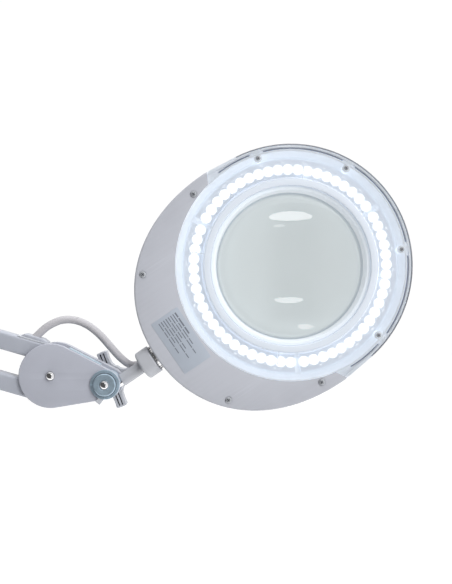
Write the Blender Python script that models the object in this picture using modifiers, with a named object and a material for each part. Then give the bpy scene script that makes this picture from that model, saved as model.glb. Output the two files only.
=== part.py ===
"""Magnifying lamp on a table clamp, with a spring-balanced arm and a lit five-inch lens.

World frame: metres, +Z up, origin on the clamp seat (the table top), +X towards the head.
The arm and head lie in the XZ plane.  Every bracket, bar and head piece is drawn in a
"plane frame": local X runs along the piece, local Y across it in the arm's plane, and
local Z sideways, towards world -Y (the near side).
"""
import math

import bmesh
import bpy
from mathutils import Euler, Matrix, Vector

GAP = 0.0003
CUT_MARGIN = 0.002
LARGE = 48
MEDIUM = 24
SMALL = 16
TINY = 8

# Clamp
TABLE_OPENING = 0.032
CLAMP_WIDTH = 0.046
JAW_LENGTH = 0.042
JAW_THICKNESS = 0.008
COLUMN_BACK = -0.034
COLUMN_FRONT = -0.024
LOWER_JAW_TOP = -0.056
LOWER_JAW_BOTTOM = -0.068
SCREW_X = 0.008
SCREW_RADIUS = 0.005
SOCKET_RADIUS = 0.015
SOCKET_TOP = 0.050
BUSH_RADIUS = 0.008
SPIGOT_RADIUS = 0.006
LEAD_EXIT_HEIGHT = 0.018
LEAD_START = 0.0453
LEAD_BEND_START = 0.055

# Arm
BAR_HEIGHT = 0.0146
BAR_WIDTH = 0.015
BAR_WALL = 0.0012
BAR_OVERHANG = 0.007
BAR_CORD_HOLE = 0.0043
ARM_LENGTH = 0.380
BASE_HEIGHT = 0.100
LOWER_LEAN = 20.0
UPPER_SLOPE = -16.2
LOWER_HALF_SPACING = 0.018
UPPER_HALF_SPACING = 0.017
ELBOW_REACH = 0.056
ELBOW_RISE = 60.0
PLATE_INNER = 0.0082
PLATE_THICKNESS = 0.0024
PLATE_OUTER = PLATE_INNER + PLATE_THICKNESS
PLATE_RADIUS = 0.0265
STUD_RADIUS = 0.003
STUD_HOLE = 0.0032
ROD_RADIUS = 0.002
ROD_HOLE = 0.0023
SPRING_DEPTH = 0.015
SPRING_RADIUS = 0.0035
SPRING_PIN_PLACE = 0.150
CORD_RADIUS = 0.00325
CORD_STEP = 0.014

CLIP_PLACE = 0.025
CLIP_START = 0.0195
CLIP_END = 0.0490
CLIP_LENGTH = 0.010
CLIP_WIDTH = 2 * (PLATE_INNER - GAP)

# Tilt joint
TILT_REACH = 0.0448
TILT_DROP = -0.007
TILT_TIP_RADIUS = 0.0123
TILT_BOLT_RADIUS = 0.004
TILT_BOLT_HOLE = 0.0044
KNOB_HUB_RADIUS = 0.010
KNOB_BACK = -0.0383
KNOB_LOBES = (0.050, 0.0095, 0.0115)
KNOB_LOBES_MIDDLE = -0.03225
KNOB_BORE_END = -0.0218
KNOB_LOBE_ANGLES = (21, 111)
EYE_RADIUS = 0.011
EYE_HALF_WIDTH = 0.0078
HEAD_ANGLE = 34.3
HEAD_DISTANCE = 0.1807
STEM_OFFSET = 0.0052
STEM_RADIUS = 0.0053
STEM_START = -0.1690
COLLAR_START = -0.1484
COLLAR_END = -0.1362
COLLAR_RADIUS = 0.01215
SHAFT_RADIUS = 0.004
SHAFT_END = -0.112

# Head
HEAD_RADIUS = 0.0996
TAIL_MIDDLE = -0.0163
TAIL_LENGTH = 0.1169
TAIL_HALF_WIDTH = 0.1022
TAIL_SQUARENESS = 2.15
TAIL_STEPS = 40
SEAM_TURN = 1.7
WALL = 0.0024
FRONT_FACE = 0.014
SPLIT = -0.008
BACK_FACE = -0.022
LENS_RADIUS = 0.0635
LENS_MIDDLE = -0.003
LENS_EDGE = 0.004
LENS_SAG = 0.0085
LENS_OPENING = 0.061
LENS_RIM = 0.0030
INNER_WALL_INSIDE = 0.0658
INNER_WALL_OUTSIDE = 0.0713
COVER_RADIUS = 0.0932
COVER_STEP_X = -0.0118
COVER_STEP_ANGLE = 102
COVER_THICKNESS = 0.0022
RING_WALL_INSIDE = 0.0938
RING_WALL_OUTSIDE = 0.0955
LEDS_PER_BOARD = 20
LED_RING_RADIUS = 0.0798
LED_PITCH = 5.9
COVER_SCREW_RADIUS = 0.0915
COVER_SCREW_ANGLES = (-72.7, -26.0, 26.0, 72.7)
HOUSING_SCREWS = ((-0.0328, -0.0929), (-0.0328, 0.0929), (-0.104, -0.0621), (-0.104, 0.0621))
ROCKER_PLACE = (-0.098, 0.045)
ROCKER_LENGTH = 0.019
ROCKER_WIDTH = 0.013
ROCKER_TILT = 8.0
LID_RADIUS = 0.070
LID_HINGE_X = 0.088
LID_HINGE_Z = -0.0252

# Mains lead
COIL_CENTRE = (0.140, 0.060)
COIL_OUTSIDE = 0.045
COIL_INSIDE = 0.0252
COIL_HEIGHT = 0.018
PLUG_TAIL = 0.020
PLUG_BODY = (0.0145, 0.0140, 0.030)
PLUG_PIN_SPACING = 0.0100
PLUG_REACH = 0.0675
PLUG_OFFSET = 0.0262
PLUG_HEIGHT = 0.0072

COLOURS = {
    "grey_paint": ((0.50, 0.51, 0.54), 0.45, 0.0),
    "grey_plastic": ((0.52, 0.53, 0.57), 0.40, 0.0),
    "white_plastic": ((0.80, 0.81, 0.82), 0.40, 0.0),
    "zinc": ((0.62, 0.66, 0.68), 0.30, 1.0),
    "steel": ((0.70, 0.70, 0.70), 0.30, 1.0),
    "clear": ((0.90, 0.93, 0.95), 0.10, 0.0),
    "glass": ((0.93, 0.96, 0.96), 0.02, 0.0),
    "board": ((0.78, 0.80, 0.80), 0.50, 0.0),
    "green_board": ((0.05, 0.25, 0.10), 0.50, 0.0),
    "black": ((0.03, 0.03, 0.03), 0.45, 0.0),
    "cord": ((0.55, 0.56, 0.57), 0.50, 0.0),
    "nylon": ((0.85, 0.85, 0.82), 0.50, 0.0),
}


# Scene set-up

def clear_scene():
    for obj in list(bpy.data.objects):
        bpy.data.objects.remove(obj, do_unlink=True)


def new_collection(name):
    collection = bpy.data.collections.new(name)
    bpy.context.scene.collection.children.link(collection)
    return collection


def new_material(name):
    colour, roughness, metallic = COLOURS[name]
    material = bpy.data.materials.new(name)
    material.use_nodes = True
    shader = material.node_tree.nodes["Principled BSDF"]
    shader.inputs["Base Color"].default_value = (*colour, 1.0)
    shader.inputs["Roughness"].default_value = roughness
    shader.inputs["Metallic"].default_value = metallic
    return material


def plane_frame(name, x, z, degrees=0.0):
    """An empty whose X axis lies in the arm's plane at an angle, and whose Z axis is sideways."""
    empty = bpy.data.objects.new(name, None)
    empty.empty_display_size = 0.02
    parts.objects.link(empty)
    angle = math.radians(degrees)
    cosine, sine = math.cos(angle), math.sin(angle)
    empty.matrix_world = Matrix((
        (cosine, -sine, 0.0, x),
        (0.0, 0.0, -1.0, 0.0),
        (sine, cosine, 0.0, z),
        (0.0, 0.0, 0.0, 1.0),
    ))
    return empty


def place(obj, frame, at=(0, 0, 0), turn=(0, 0, 0)):
    obj.parent = frame
    obj.location = at
    obj.rotation_euler = Euler([math.radians(angle) for angle in turn])


def part(obj, frame, material, at=(0, 0, 0), turn=(0, 0, 0)):
    parts.objects.link(obj)
    place(obj, frame, at, turn)
    obj.data.materials.clear()
    obj.data.materials.append(new_material(material))
    if obj.type == "MESH":
        obj.data.shade_smooth()
        obj.data.set_sharp_from_angle(angle=math.radians(35))
    return obj


def tool(obj, frame, at=(0, 0, 0), turn=(0, 0, 0)):
    cutters.objects.link(obj)
    place(obj, frame, at, turn)
    obj.hide_render = True
    obj.display_type = "WIRE"
    return obj


def boolean(target, operation, operand):
    modifier = target.modifiers.new(operand.name, "BOOLEAN")
    modifier.operation = operation
    modifier.object = operand


def cut(target, *operands):
    for operand in operands:
        boolean(target, "DIFFERENCE", operand)


def join(target, *operands):
    for operand in operands:
        boolean(target, "UNION", operand)


# Outlines in a plane

def circle(radius, centre=(0.0, 0.0), steps=SMALL):
    angles = [2 * math.pi * step / steps for step in range(steps)]
    return [(centre[0] + radius * math.cos(a), centre[1] + radius * math.sin(a)) for a in angles]


def arc(radius, start, end, steps, centre=(0.0, 0.0)):
    angles = [math.radians(start + (end - start) * step / steps) for step in range(steps + 1)]
    return [(centre[0] + radius * math.cos(a), centre[1] + radius * math.sin(a)) for a in angles]


def hull(circles, steps=MEDIUM):
    """The outline round some circles, given as ((x, y), radius)."""
    return convex(point for centre, radius in circles for point in circle(radius, centre, steps))


def convex(points):
    """The outline of the convex hull of some points, counterclockwise from the leftmost one."""
    points = sorted(points)

    def half(ordered):
        chain = []
        for point in ordered:
            while len(chain) > 1 and turns_right(chain[-2], chain[-1], point):
                chain.pop()
            chain.append(point)
        return chain[:-1]

    return half(points) + half(points[::-1])


def turns_right(a, b, c):
    return (b[0] - a[0]) * (c[1] - a[1]) - (b[1] - a[1]) * (c[0] - a[0]) <= 1e-12


def smooth_route(points, spacing):
    """Points about one spacing apart on a smooth curve through the given points."""
    knots = [Vector(point) for point in points]
    knots = [2 * knots[0] - knots[1], *knots, 2 * knots[-1] - knots[-2]]
    route = []
    for before, start, end, after in zip(knots, knots[1:], knots[2:], knots[3:]):
        count = max(1, round((end - start).length / spacing))
        for step in range(count):
            t = step / count
            route.append(0.5 * (
                2 * start
                + (end - before) * t
                + (2 * before - 5 * start + 4 * end - after) * t ** 2
                + (3 * start - before - 3 * end + after) * t ** 3
            ))
    return route + [knots[-2]]


# Solids

def solid(name, build):
    mesh = bpy.data.meshes.new(name)
    form = bmesh.new()
    build(form)
    form.to_mesh(mesh)
    form.free()
    return bpy.data.objects.new(name, mesh)


def box(name, size, centre=(0, 0, 0)):
    matrix = Matrix.Translation(centre) @ Matrix.Diagonal((*size, 1.0))
    return solid(name, lambda form: bmesh.ops.create_cube(form, size=1.0, matrix=matrix))


def boxes(name, size, matrices):
    """Equal boxes in one mesh, used only as a Boolean operand."""
    shape = Matrix.Diagonal((*size, 1.0))

    def build(form):
        for matrix in matrices:
            bmesh.ops.create_cube(form, size=1.0, matrix=matrix @ shape)

    return solid(name, build)


def cylinders(name, radius, low, high, centres, steps=SMALL):
    """Equal upright cylinders in one mesh: one piece, or a Boolean operand if there are several."""
    def build(form):
        for x, y in centres:
            bmesh.ops.create_cone(
                form,
                cap_ends=True,
                segments=steps,
                radius1=radius,
                radius2=radius,
                depth=high - low,
                matrix=Matrix.Translation((x, y, (low + high) / 2)),
            )

    return solid(name, build)


def cylinder(name, radius, low, high, centre=(0.0, 0.0), steps=SMALL):
    return cylinders(name, radius, low, high, [centre], steps)


def prism(name, loops, low, high):
    """A flat outline, its first loop, with its holes, the other loops, given a thickness."""
    curve = bpy.data.curves.new(name, "CURVE")
    curve.dimensions = "2D"
    curve.fill_mode = "BOTH"
    curve.extrude = (high - low) / 2
    for loop in loops:
        spline = curve.splines.new("POLY")
        spline.points.add(len(loop) - 1)
        spline.use_cyclic_u = True
        for point, (x, y) in zip(spline.points, loop):
            point.co = (x, y, 0.0, 1.0)
    outline = bpy.data.objects.new(name, curve)
    cutters.objects.link(outline)
    graph = bpy.context.evaluated_depsgraph_get()
    flat = bpy.data.meshes.new_from_object(outline.evaluated_get(graph))
    bpy.data.objects.remove(outline)

    def build(form):
        form.from_mesh(flat)
        bmesh.ops.remove_doubles(form, verts=form.verts, dist=0.000001)
        bmesh.ops.translate(form, verts=form.verts, vec=(0, 0, (low + high) / 2))
        bmesh.ops.recalc_face_normals(form, faces=form.faces)

    return solid(name, build)


def turned(name, profile, steps=MEDIUM, hollow=False):
    """A profile of (radius, height) pairs turned about Z; a hollow one closes on itself."""
    mesh = bpy.data.meshes.new(name)
    edges = [(i, i + 1) for i in range(len(profile) - 1)]
    if hollow:
        edges.append((len(profile) - 1, 0))
    mesh.from_pydata([(radius, 0.0, height) for radius, height in profile], edges, [])
    obj = bpy.data.objects.new(name, mesh)
    screw = obj.modifiers.new("turn", "SCREW")
    screw.steps = steps
    screw.render_steps = steps
    screw.use_merge_vertices = True
    screw.merge_threshold = 0.00001
    return obj


def ring(name, inside, outside, low, high, steps=MEDIUM):
    profile = [(outside, high), (outside, low), (inside, low), (inside, high)]
    return turned(name, profile, steps, hollow=True)


def tube(name, points, radius):
    curve = bpy.data.curves.new(name, "CURVE")
    curve.dimensions = "3D"
    curve.bevel_depth = radius
    curve.bevel_resolution = 2
    curve.use_fill_caps = True
    spline = curve.splines.new("POLY")
    spline.points.add(len(points) - 1)
    for point, place_ in zip(spline.points, points):
        point.co = (*place_, 1.0)
    return bpy.data.objects.new(name, curve)


# Clamp

def clamp():
    root = bpy.data.objects.new("clamp_origin", None)
    parts.objects.link(root)
    outline = [
        (COLUMN_BACK, LOWER_JAW_BOTTOM),
        (SCREW_X + 0.014, LOWER_JAW_BOTTOM),
        (SCREW_X + 0.014, LOWER_JAW_TOP),
        (COLUMN_FRONT, LOWER_JAW_TOP),
        (COLUMN_FRONT, 0.0),
        (JAW_LENGTH, 0.0),
        (JAW_LENGTH, 0.004),
        (0.020, JAW_THICKNESS),
        (-0.020, JAW_THICKNESS + 0.006),
        (COLUMN_BACK, 0.002),
    ]
    frame = prism("clamp_frame", [outline], -CLAMP_WIDTH / 2, CLAMP_WIDTH / 2)
    part(frame, root, "grey_paint", turn=(90, 0, 0))
    socket = tool(cylinder("socket", SOCKET_RADIUS, 0.004, SOCKET_TOP, steps=MEDIUM), root)
    bore = tool(cylinder("socket_bore", BUSH_RADIUS + GAP, 0.010, 0.06), root)
    thread = tool(cylinder("thread_hole", SCREW_RADIUS + GAP, -0.08, -0.04, (SCREW_X, 0)), root)
    outlet = cylinder("lead_outlet", 0.0046, 0.0, 0.03)
    tool(outlet, root, at=(0, 0, LEAD_EXIT_HEIGHT), turn=(-90, 0, 0))
    join(frame, socket)
    cut(frame, bore, thread, outlet)

    bush = [(SPIGOT_RADIUS + GAP, 0.0522), (0.012, 0.0522), (0.012, SOCKET_TOP + GAP),
            (BUSH_RADIUS, SOCKET_TOP + GAP), (BUSH_RADIUS, 0.026), (SPIGOT_RADIUS + GAP, 0.026)]
    part(turned("clamp_bush", bush, SMALL, hollow=True), root, "nylon")

    gland = [(0.0, 0.008), (0.0043, 0.008), (0.0043, 0.0155), (0.0065, 0.0155), (0.0065, 0.019),
             (0.0042, 0.045), (0.0, 0.045)]
    part(turned("cord_gland", gland[::-1], SMALL), root, "black",
         at=(0, 0, LEAD_EXIT_HEIGHT), turn=(-90, 0, 0))
    return root


def clamp_screw(root):
    pad_top = -TABLE_OPENING
    pad = [(0.0, pad_top), (0.014, pad_top), (0.014, pad_top - 0.002), (0.0095, pad_top - 0.008),
           (SCREW_RADIUS + GAP, pad_top - 0.008), (SCREW_RADIUS + GAP, pad_top - 0.003),
           (0.0, pad_top - 0.003)]
    part(turned("clamp_pad", pad), root, "black", at=(SCREW_X, 0, 0))
    knob_top = LOWER_JAW_BOTTOM - 0.036
    rod = cylinder("clamp_screw", SCREW_RADIUS, knob_top + 0.001, pad_top - 0.0033)
    part(rod, root, "zinc", at=(SCREW_X, 0, 0))
    knob = turned("clamp_knob", [(0.0, knob_top), (0.009, knob_top), (0.012, knob_top - 0.004),
                                 (0.012, knob_top - 0.014), (0.0, knob_top - 0.014)], SMALL)
    part(knob, root, "black", at=(SCREW_X, 0, 0))
    wings = box("knob_wings", (0.046, 0.007, 0.014), (0, 0, knob_top - 0.0095))
    tool(wings, root, at=(SCREW_X, 0, 0))
    socket = cylinder("knob_socket", SCREW_RADIUS + GAP, knob_top - 0.009, knob_top + 0.01)
    tool(socket, root, at=(SCREW_X, 0, 0))
    join(knob, wings)
    cut(knob, socket)
    rod_end = tool(cylinder("rod_end", SCREW_RADIUS, knob_top - 0.0085, knob_top + 0.002), root,
                   at=(SCREW_X, 0, 0))
    join(bpy.data.objects["clamp_screw"], rod_end)


# Brackets and bars

def studs(name, far_plate, frame, centres):
    pins = cylinders(name, STUD_RADIUS, -PLATE_INNER - 0.001, PLATE_INNER - GAP, centres)
    join(far_plate, tool(pins, frame))


def spacer_rod(name, frame, at, reach):
    """A rod through both plates, with a collar and a domed end outside each of them."""
    half = [(ROD_RADIUS, PLATE_OUTER + GAP), (0.0038, PLATE_OUTER + GAP), (0.0038, 0.0122)]
    if reach > 0.015:
        half += [(ROD_RADIUS, 0.0122), (ROD_RADIUS, reach - 0.0012), (0.003, reach - 0.0012),
                 (0.003, reach), (0.0, reach)]
    else:
        half += [(0.0026, reach), (0.0, reach + 0.0006)]
    profile = half[::-1] + [(radius, -height) for radius, height in half]
    return part(turned(name, profile, SMALL), frame, "zinc", at=at)


def base_yoke():
    frame = plane_frame("base_frame", 0.0, BASE_HEIGHT)
    outline = hull([((0, 0), 0.027), ((-0.010, -0.033), 0.006), ((0.010, -0.033), 0.006)])
    far = prism("base_yoke", [outline, circle(ROD_HOLE)], -PLATE_OUTER, -PLATE_INNER)
    part(far, frame, "grey_paint")
    block = tool(box("yoke_block", (0.032, 0.010, 0.0169), (0, -0.035, -0.0001)), frame)
    disc = cylinder("yoke_disc", 0.013, -0.0475, -0.0393)
    tool(disc, frame, turn=(-90, 0, 0))
    spigot = tool(cylinder("spigot", SPIGOT_RADIUS, -0.086, -0.036), frame, turn=(-90, 0, 0))
    bore = tool(cylinder("spigot_bore", 0.0037, -0.1, -0.036), frame, turn=(-90, 0, 0))
    side_hole = tool(cylinder("side_hole", 0.0037, -0.03, 0.0), frame,
                     at=(0, -0.0355, 0), turn=(0, 90, 0))
    join(far, block, disc, spigot)
    cut(far, bore, side_hole)
    studs("base_studs", far, frame, [(-LOWER_HALF_SPACING, 0), (LOWER_HALF_SPACING, 0)])
    near = prism("base_plate_near", [outline, circle(ROD_HOLE)], PLATE_INNER + 0.0005,
                 PLATE_OUTER + 0.0001)
    part(near, frame, "grey_paint")
    spacer_rod("base_rod", frame, (0, 0, 0), 0.0185)
    return frame


def bar(name, frame, length, cord_holes=()):
    body = box(name, (length + 2 * BAR_OVERHANG, BAR_HEIGHT, BAR_WIDTH), (length / 2, 0, 0))
    part(body, frame, "grey_paint")
    inside = box(name + "_inside", (length + 0.1, BAR_HEIGHT - 2 * BAR_WALL, BAR_WIDTH - 2 * BAR_WALL),
                 (length / 2, 0, 0))
    holes = cylinders(name + "_holes", STUD_HOLE, -0.02, 0.02, [(0, 0), (length, 0)])
    cut(body, tool(inside, frame), tool(holes, frame))
    if cord_holes:
        passages = cylinders(name + "_cord_holes", BAR_CORD_HOLE, 0.0, 0.02, [(x, 0) for x in cord_holes])
        cut(body, tool(passages, frame, turn=(-90, 0, 0)))
    return body


def tie_bar(name, frame, pin_name):
    body = bar(name, frame, ARM_LENGTH)
    hole = cylinder(name + "_pin_hole", ROD_HOLE, -0.02, 0.02, (SPRING_PIN_PLACE, 0))
    cut(body, tool(hole, frame))
    half = [(ROD_RADIUS, 0.0078), (0.0032, 0.0078), (0.0032, 0.0095), (ROD_RADIUS, 0.0095),
            (ROD_RADIUS, 0.0173), (0.003, 0.0173), (0.003, 0.0185), (0.0, 0.0185)]
    profile = half[::-1] + [(radius, -height) for radius, height in half]
    part(turned(pin_name, profile, TINY), frame, "zinc", at=(SPRING_PIN_PLACE, 0, 0))


def spring(name, frame, start, end, side):
    """The outer shape of a close-wound spring, with a hook ring at each end."""
    start, end = Vector(start), Vector(end)
    length = (end - start).length
    angle = math.degrees(math.atan2(end.y - start.y, end.x - start.x))
    hook = 0.0034
    wire = 0.0009
    body = [(0.0, length - hook), (wire, length - hook), (wire, length - 0.007),
            (SPRING_RADIUS, length - 0.010), (SPRING_RADIUS, 0.010), (wire, 0.007),
            (wire, hook), (0.0, hook)]
    coil = turned(name, body, TINY)
    holder = bpy.data.objects.new(name + "_line", None)
    parts.objects.link(holder)
    place(holder, frame, at=(start.x, start.y, side * SPRING_DEPTH), turn=(0, 0, angle))
    part(coil, holder, "steel", turn=(0, 90, 0))
    for number, along in enumerate((0.0, length)):
        loop = turned(f"{name}_hook_{number}", circle(wire, (hook, 0), 5)[::-1], TINY, hollow=True)
        join(coil, tool(loop, holder, at=(along, 0, 0)))


def lower_arm():
    lean = math.radians(LOWER_LEAN)
    along = 90 - LOWER_LEAN
    bar_frame = plane_frame("lower_bar_frame", -LOWER_HALF_SPACING, BASE_HEIGHT, along)
    tie_frame = plane_frame("lower_tie_frame", LOWER_HALF_SPACING, BASE_HEIGHT, along)
    bar("lower_bar", bar_frame, ARM_LENGTH, (0.055, ARM_LENGTH - 0.060))
    tie_bar("lower_tie_bar", tie_frame, "lower_spring_pin")
    anchor = (-2 * LOWER_HALF_SPACING * math.sin(lean) / 2, LOWER_HALF_SPACING * math.cos(lean))
    for side, label in ((1, "near"), (-1, "far")):
        spring(f"lower_spring_{label}", tie_frame, (*anchor, 0), (SPRING_PIN_PLACE, 0, 0), side)
    return (ARM_LENGTH * math.sin(lean), BASE_HEIGHT + ARM_LENGTH * math.cos(lean))


def elbow(lower_centre):
    frame = plane_frame("elbow_frame", lower_centre[0] - LOWER_HALF_SPACING, lower_centre[1])
    rise = math.radians(ELBOW_RISE)
    lower = (LOWER_HALF_SPACING, 0.0)
    upper = (lower[0] + ELBOW_REACH * math.cos(rise), ELBOW_REACH * math.sin(rise))
    outline = hull([(lower, PLATE_RADIUS), (upper, PLATE_RADIUS)])
    loops = [outline, circle(ROD_HOLE, upper)]
    far = part(prism("elbow_plate_far", loops, -PLATE_OUTER, -PLATE_INNER), frame, "grey_paint")
    part(prism("elbow_plate_near", loops, PLATE_INNER, PLATE_OUTER), frame, "grey_paint")
    centres = [(0.0, 0.0), (2 * LOWER_HALF_SPACING, 0.0),
               (upper[0], upper[1] + UPPER_HALF_SPACING), (upper[0], upper[1] - UPPER_HALF_SPACING)]
    studs("elbow_studs", far, frame, centres)
    spacer_rod("elbow_rod", frame, (*upper, 0), 0.0185)
    return (lower_centre[0] - LOWER_HALF_SPACING + upper[0], lower_centre[1] + upper[1])


def upper_arm(elbow_centre):
    x, z = elbow_centre
    slope = math.radians(UPPER_SLOPE)
    bar_frame = plane_frame("upper_bar_frame", x, z + UPPER_HALF_SPACING, UPPER_SLOPE)
    tie_frame = plane_frame("upper_tie_frame", x, z - UPPER_HALF_SPACING, UPPER_SLOPE)
    bar("upper_bar", bar_frame, ARM_LENGTH, (0.060, ARM_LENGTH - 0.018))
    tie_bar("upper_tie_bar", tie_frame, "upper_spring_pin")
    anchor = (UPPER_HALF_SPACING * math.sin(slope), UPPER_HALF_SPACING * math.cos(slope))
    for side, label in ((1, "near"), (-1, "far")):
        spring(f"upper_spring_{label}", tie_frame, (*anchor, 0), (SPRING_PIN_PLACE, 0, 0), side)
    low = BAR_HEIGHT / 2 + 0.0003
    cap = [(-0.0298, low), (-0.0060, low), (-0.0060, low + 0.0014), (-0.0110, low + 0.0030),
           (-0.0258, low + 0.0030)]
    part(prism("cord_outlet_cap", [cap], -0.006, 0.006), bar_frame, "grey_plastic",
         at=(ARM_LENGTH, 0, 0))
    return (x + ARM_LENGTH * math.cos(slope), z + ARM_LENGTH * math.sin(slope))


def head_bracket(centre):
    frame = plane_frame("head_bracket_frame", centre[0], centre[1] + UPPER_HALF_SPACING)
    middle = (0.0, -UPPER_HALF_SPACING)
    tip = (TILT_REACH, middle[1] + TILT_DROP)
    outline = hull([(middle, PLATE_RADIUS), (tip, TILT_TIP_RADIUS)])
    loops = [outline, circle(ROD_HOLE, middle), circle(TILT_BOLT_HOLE, tip)]
    far = part(prism("head_plate_far", loops, -PLATE_OUTER, -PLATE_INNER), frame, "grey_paint")
    part(prism("head_plate_near", loops, PLATE_INNER, PLATE_OUTER), frame, "grey_paint")
    studs("head_studs", far, frame, [(0.0, 0.0), (0.0, -2 * UPPER_HALF_SPACING)])
    spacer_rod("head_bracket_rod", frame, (*middle, 0), 0.0135)
    return (centre[0] + TILT_REACH, centre[1] + TILT_DROP)


# Tilt joint and stem

def tilt_joint(centre):
    fixed = plane_frame("tilt_bolt_frame", *centre)
    washer = ring("tilt_washer", TILT_BOLT_HOLE, 0.01215, PLATE_OUTER + GAP, 0.0124)
    part(washer, fixed, "zinc")
    bolt = [(0.0, 0.0176), (0.0022, 0.0172), (0.0035, 0.0156), (0.0092, 0.0156), (0.0092, 0.0127),
            (TILT_BOLT_RADIUS, 0.0127), (TILT_BOLT_RADIUS, -0.0215), (0.0, -0.0215)]
    part(turned("tilt_bolt", bolt), fixed, "zinc")
    knob_frame = plane_frame("tilt_knob_frame", *centre)
    knob = cylinder("tilt_knob", KNOB_HUB_RADIUS, KNOB_BACK, -PLATE_OUTER - 2 * GAP)
    part(knob, knob_frame, "grey_plastic")
    lobes = boxes("knob_lobes", KNOB_LOBES,
                  [Matrix.Translation((0, 0, KNOB_LOBES_MIDDLE))
                   @ Matrix.Rotation(math.radians(angle), 4, "Z") for angle in KNOB_LOBE_ANGLES])
    hole = cylinder("knob_bore", TILT_BOLT_HOLE, KNOB_BORE_END, 0.0)
    join(knob, tool(lobes, knob_frame))
    cut(knob, tool(hole, knob_frame))


def tilt_stem(centre):
    frame = plane_frame("tilt_frame", *centre, HEAD_ANGLE)
    eye = ring("tilt_eye", TILT_BOLT_HOLE, EYE_RADIUS, -EYE_HALF_WIDTH, EYE_HALF_WIDTH)
    part(eye, frame, "zinc")
    start, end = 0.0075, HEAD_DISTANCE + SHAFT_END
    shaft = tool(cylinder("eye_shaft", SHAFT_RADIUS, start, end), frame,
                 at=(0, -STEM_OFFSET, 0), turn=(0, 90, 0))
    join(eye, shaft)
    stem = [(x + HEAD_DISTANCE, r) for x, r in (
        (COLLAR_END, SHAFT_RADIUS + GAP), (COLLAR_END, COLLAR_RADIUS),
        (COLLAR_START + 0.002, COLLAR_RADIUS), (COLLAR_START + 0.0006, COLLAR_RADIUS - 0.0006),
        (COLLAR_START, COLLAR_RADIUS - 0.002), (COLLAR_START, STEM_RADIUS),
        (STEM_START + 0.001, STEM_RADIUS), (STEM_START, STEM_RADIUS - 0.0008),
        (STEM_START, SHAFT_RADIUS + GAP))]
    part(turned("head_stem", [(r, x) for x, r in stem], hollow=True), frame, "grey_paint",
         at=(0, -STEM_OFFSET, 0), turn=(0, 90, 0))
    disc = ring("swivel_disc", SHAFT_RADIUS + GAP, 0.0105, HEAD_DISTANCE + COLLAR_END + GAP,
                HEAD_DISTANCE + TAIL_MIDDLE - TAIL_LENGTH - GAP)
    part(disc, frame, "zinc", at=(0, -STEM_OFFSET, 0), turn=(0, 90, 0))
    return frame


# Head

def head_outline(inset=0.0):
    """A circle round the lens and a longer, squarer tail, joined smoothly."""
    points = circle(HEAD_RADIUS - inset, steps=LARGE)
    for step in range(TAIL_STEPS + 1):
        angle = math.pi * (0.5 + step / TAIL_STEPS)
        x, y = (math.copysign(abs(side) ** (2 / TAIL_SQUARENESS), side)
                for side in (math.cos(angle), math.sin(angle)))
        points.append((TAIL_MIDDLE + (TAIL_LENGTH - inset) * x, (TAIL_HALF_WIDTH - inset) * y))
    return convex(points)


def height_at(outline, x):
    """How far above the X axis a counterclockwise outline is at x."""
    for (right, high), (left, low) in zip(outline, outline[1:] + outline[:1]):
        if left <= x < right:
            return high + (low - high) * (right - x) / (right - left)


def cover_outline(inset, tail_radius):
    """The clear cover: the far half follows the head's edge, and the tail half is a smaller circle."""
    outline = head_outline(inset)
    far = [point for point in outline if point[0] > COVER_STEP_X]
    tail = arc(tail_radius, COVER_STEP_ANGLE, 360 - COVER_STEP_ANGLE, 22)
    corner = height_at(outline, COVER_STEP_X)
    return [*far, (COVER_STEP_X, corner), *tail, (COVER_STEP_X, -corner)]


def polar(radius, degrees):
    return (radius * math.cos(math.radians(degrees)), radius * math.sin(math.radians(degrees)))


def front_housing(frame):
    body = part(prism("front_housing", [head_outline()], SPLIT, FRONT_FACE), frame,
                "grey_plastic")
    hollow = prism("front_hollow", [head_outline(WALL)], SPLIT - 0.01, FRONT_FACE - WALL)
    wall_top = FRONT_FACE - WALL + 0.0010
    profile = [(RING_WALL_OUTSIDE, wall_top), (RING_WALL_OUTSIDE, 0.001), (INNER_WALL_INSIDE, 0.001),
               (INNER_WALL_INSIDE, FRONT_FACE - GAP), (INNER_WALL_OUTSIDE, FRONT_FACE - GAP),
               (INNER_WALL_OUTSIDE, 0.003), (RING_WALL_INSIDE, 0.003), (RING_WALL_INSIDE, wall_top)]
    channel = turned("led_channel", profile, LARGE, hollow=True)
    seat_centres = [polar(COVER_SCREW_RADIUS, angle) for angle in COVER_SCREW_ANGLES]
    seats = cylinders("screw_seats", 0.0030, 0.002, 0.0110, seat_centres)
    cover = prism("cover_space", [cover_outline(-CUT_MARGIN, COVER_RADIUS + GAP)], 0.0115, 0.03)
    bridges = boxes("screw_bridges", (0.0040, 0.0060, 0.0068),
                    [Matrix.Rotation(math.radians(angle), 4, "Z") @ Matrix.Translation((0.0962, 0, 0.0076))
                     for angle in COVER_SCREW_ANGLES])
    pilots = cylinders("pilot_holes", 0.0014, 0.0045, 0.03, seat_centres, TINY)
    clearance = cylinders("screw_clearance", 0.0017, 0.0112, 0.03, HOUSING_SCREWS, TINY)
    trim_loops = [cover_outline(-CUT_MARGIN - GAP, COVER_RADIUS + GAP / 2),
                  circle(INNER_WALL_OUTSIDE + 0.0002, steps=LARGE)]
    trim = prism("wall_trim", trim_loops, 0.0114, 0.02)
    neck = cylinder("stem_hole", SHAFT_RADIUS + 0.0005, -0.16, -0.115)
    cut(body, tool(hollow, frame), tool(cover, frame))
    join(body, tool(channel, frame, turn=(0, 0, SEAM_TURN)), tool(seats, frame), tool(bridges, frame))
    cut(body, tool(trim, frame), tool(pilots, frame), tool(clearance, frame),
        tool(neck, frame, turn=(0, 90, 0)))


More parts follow.
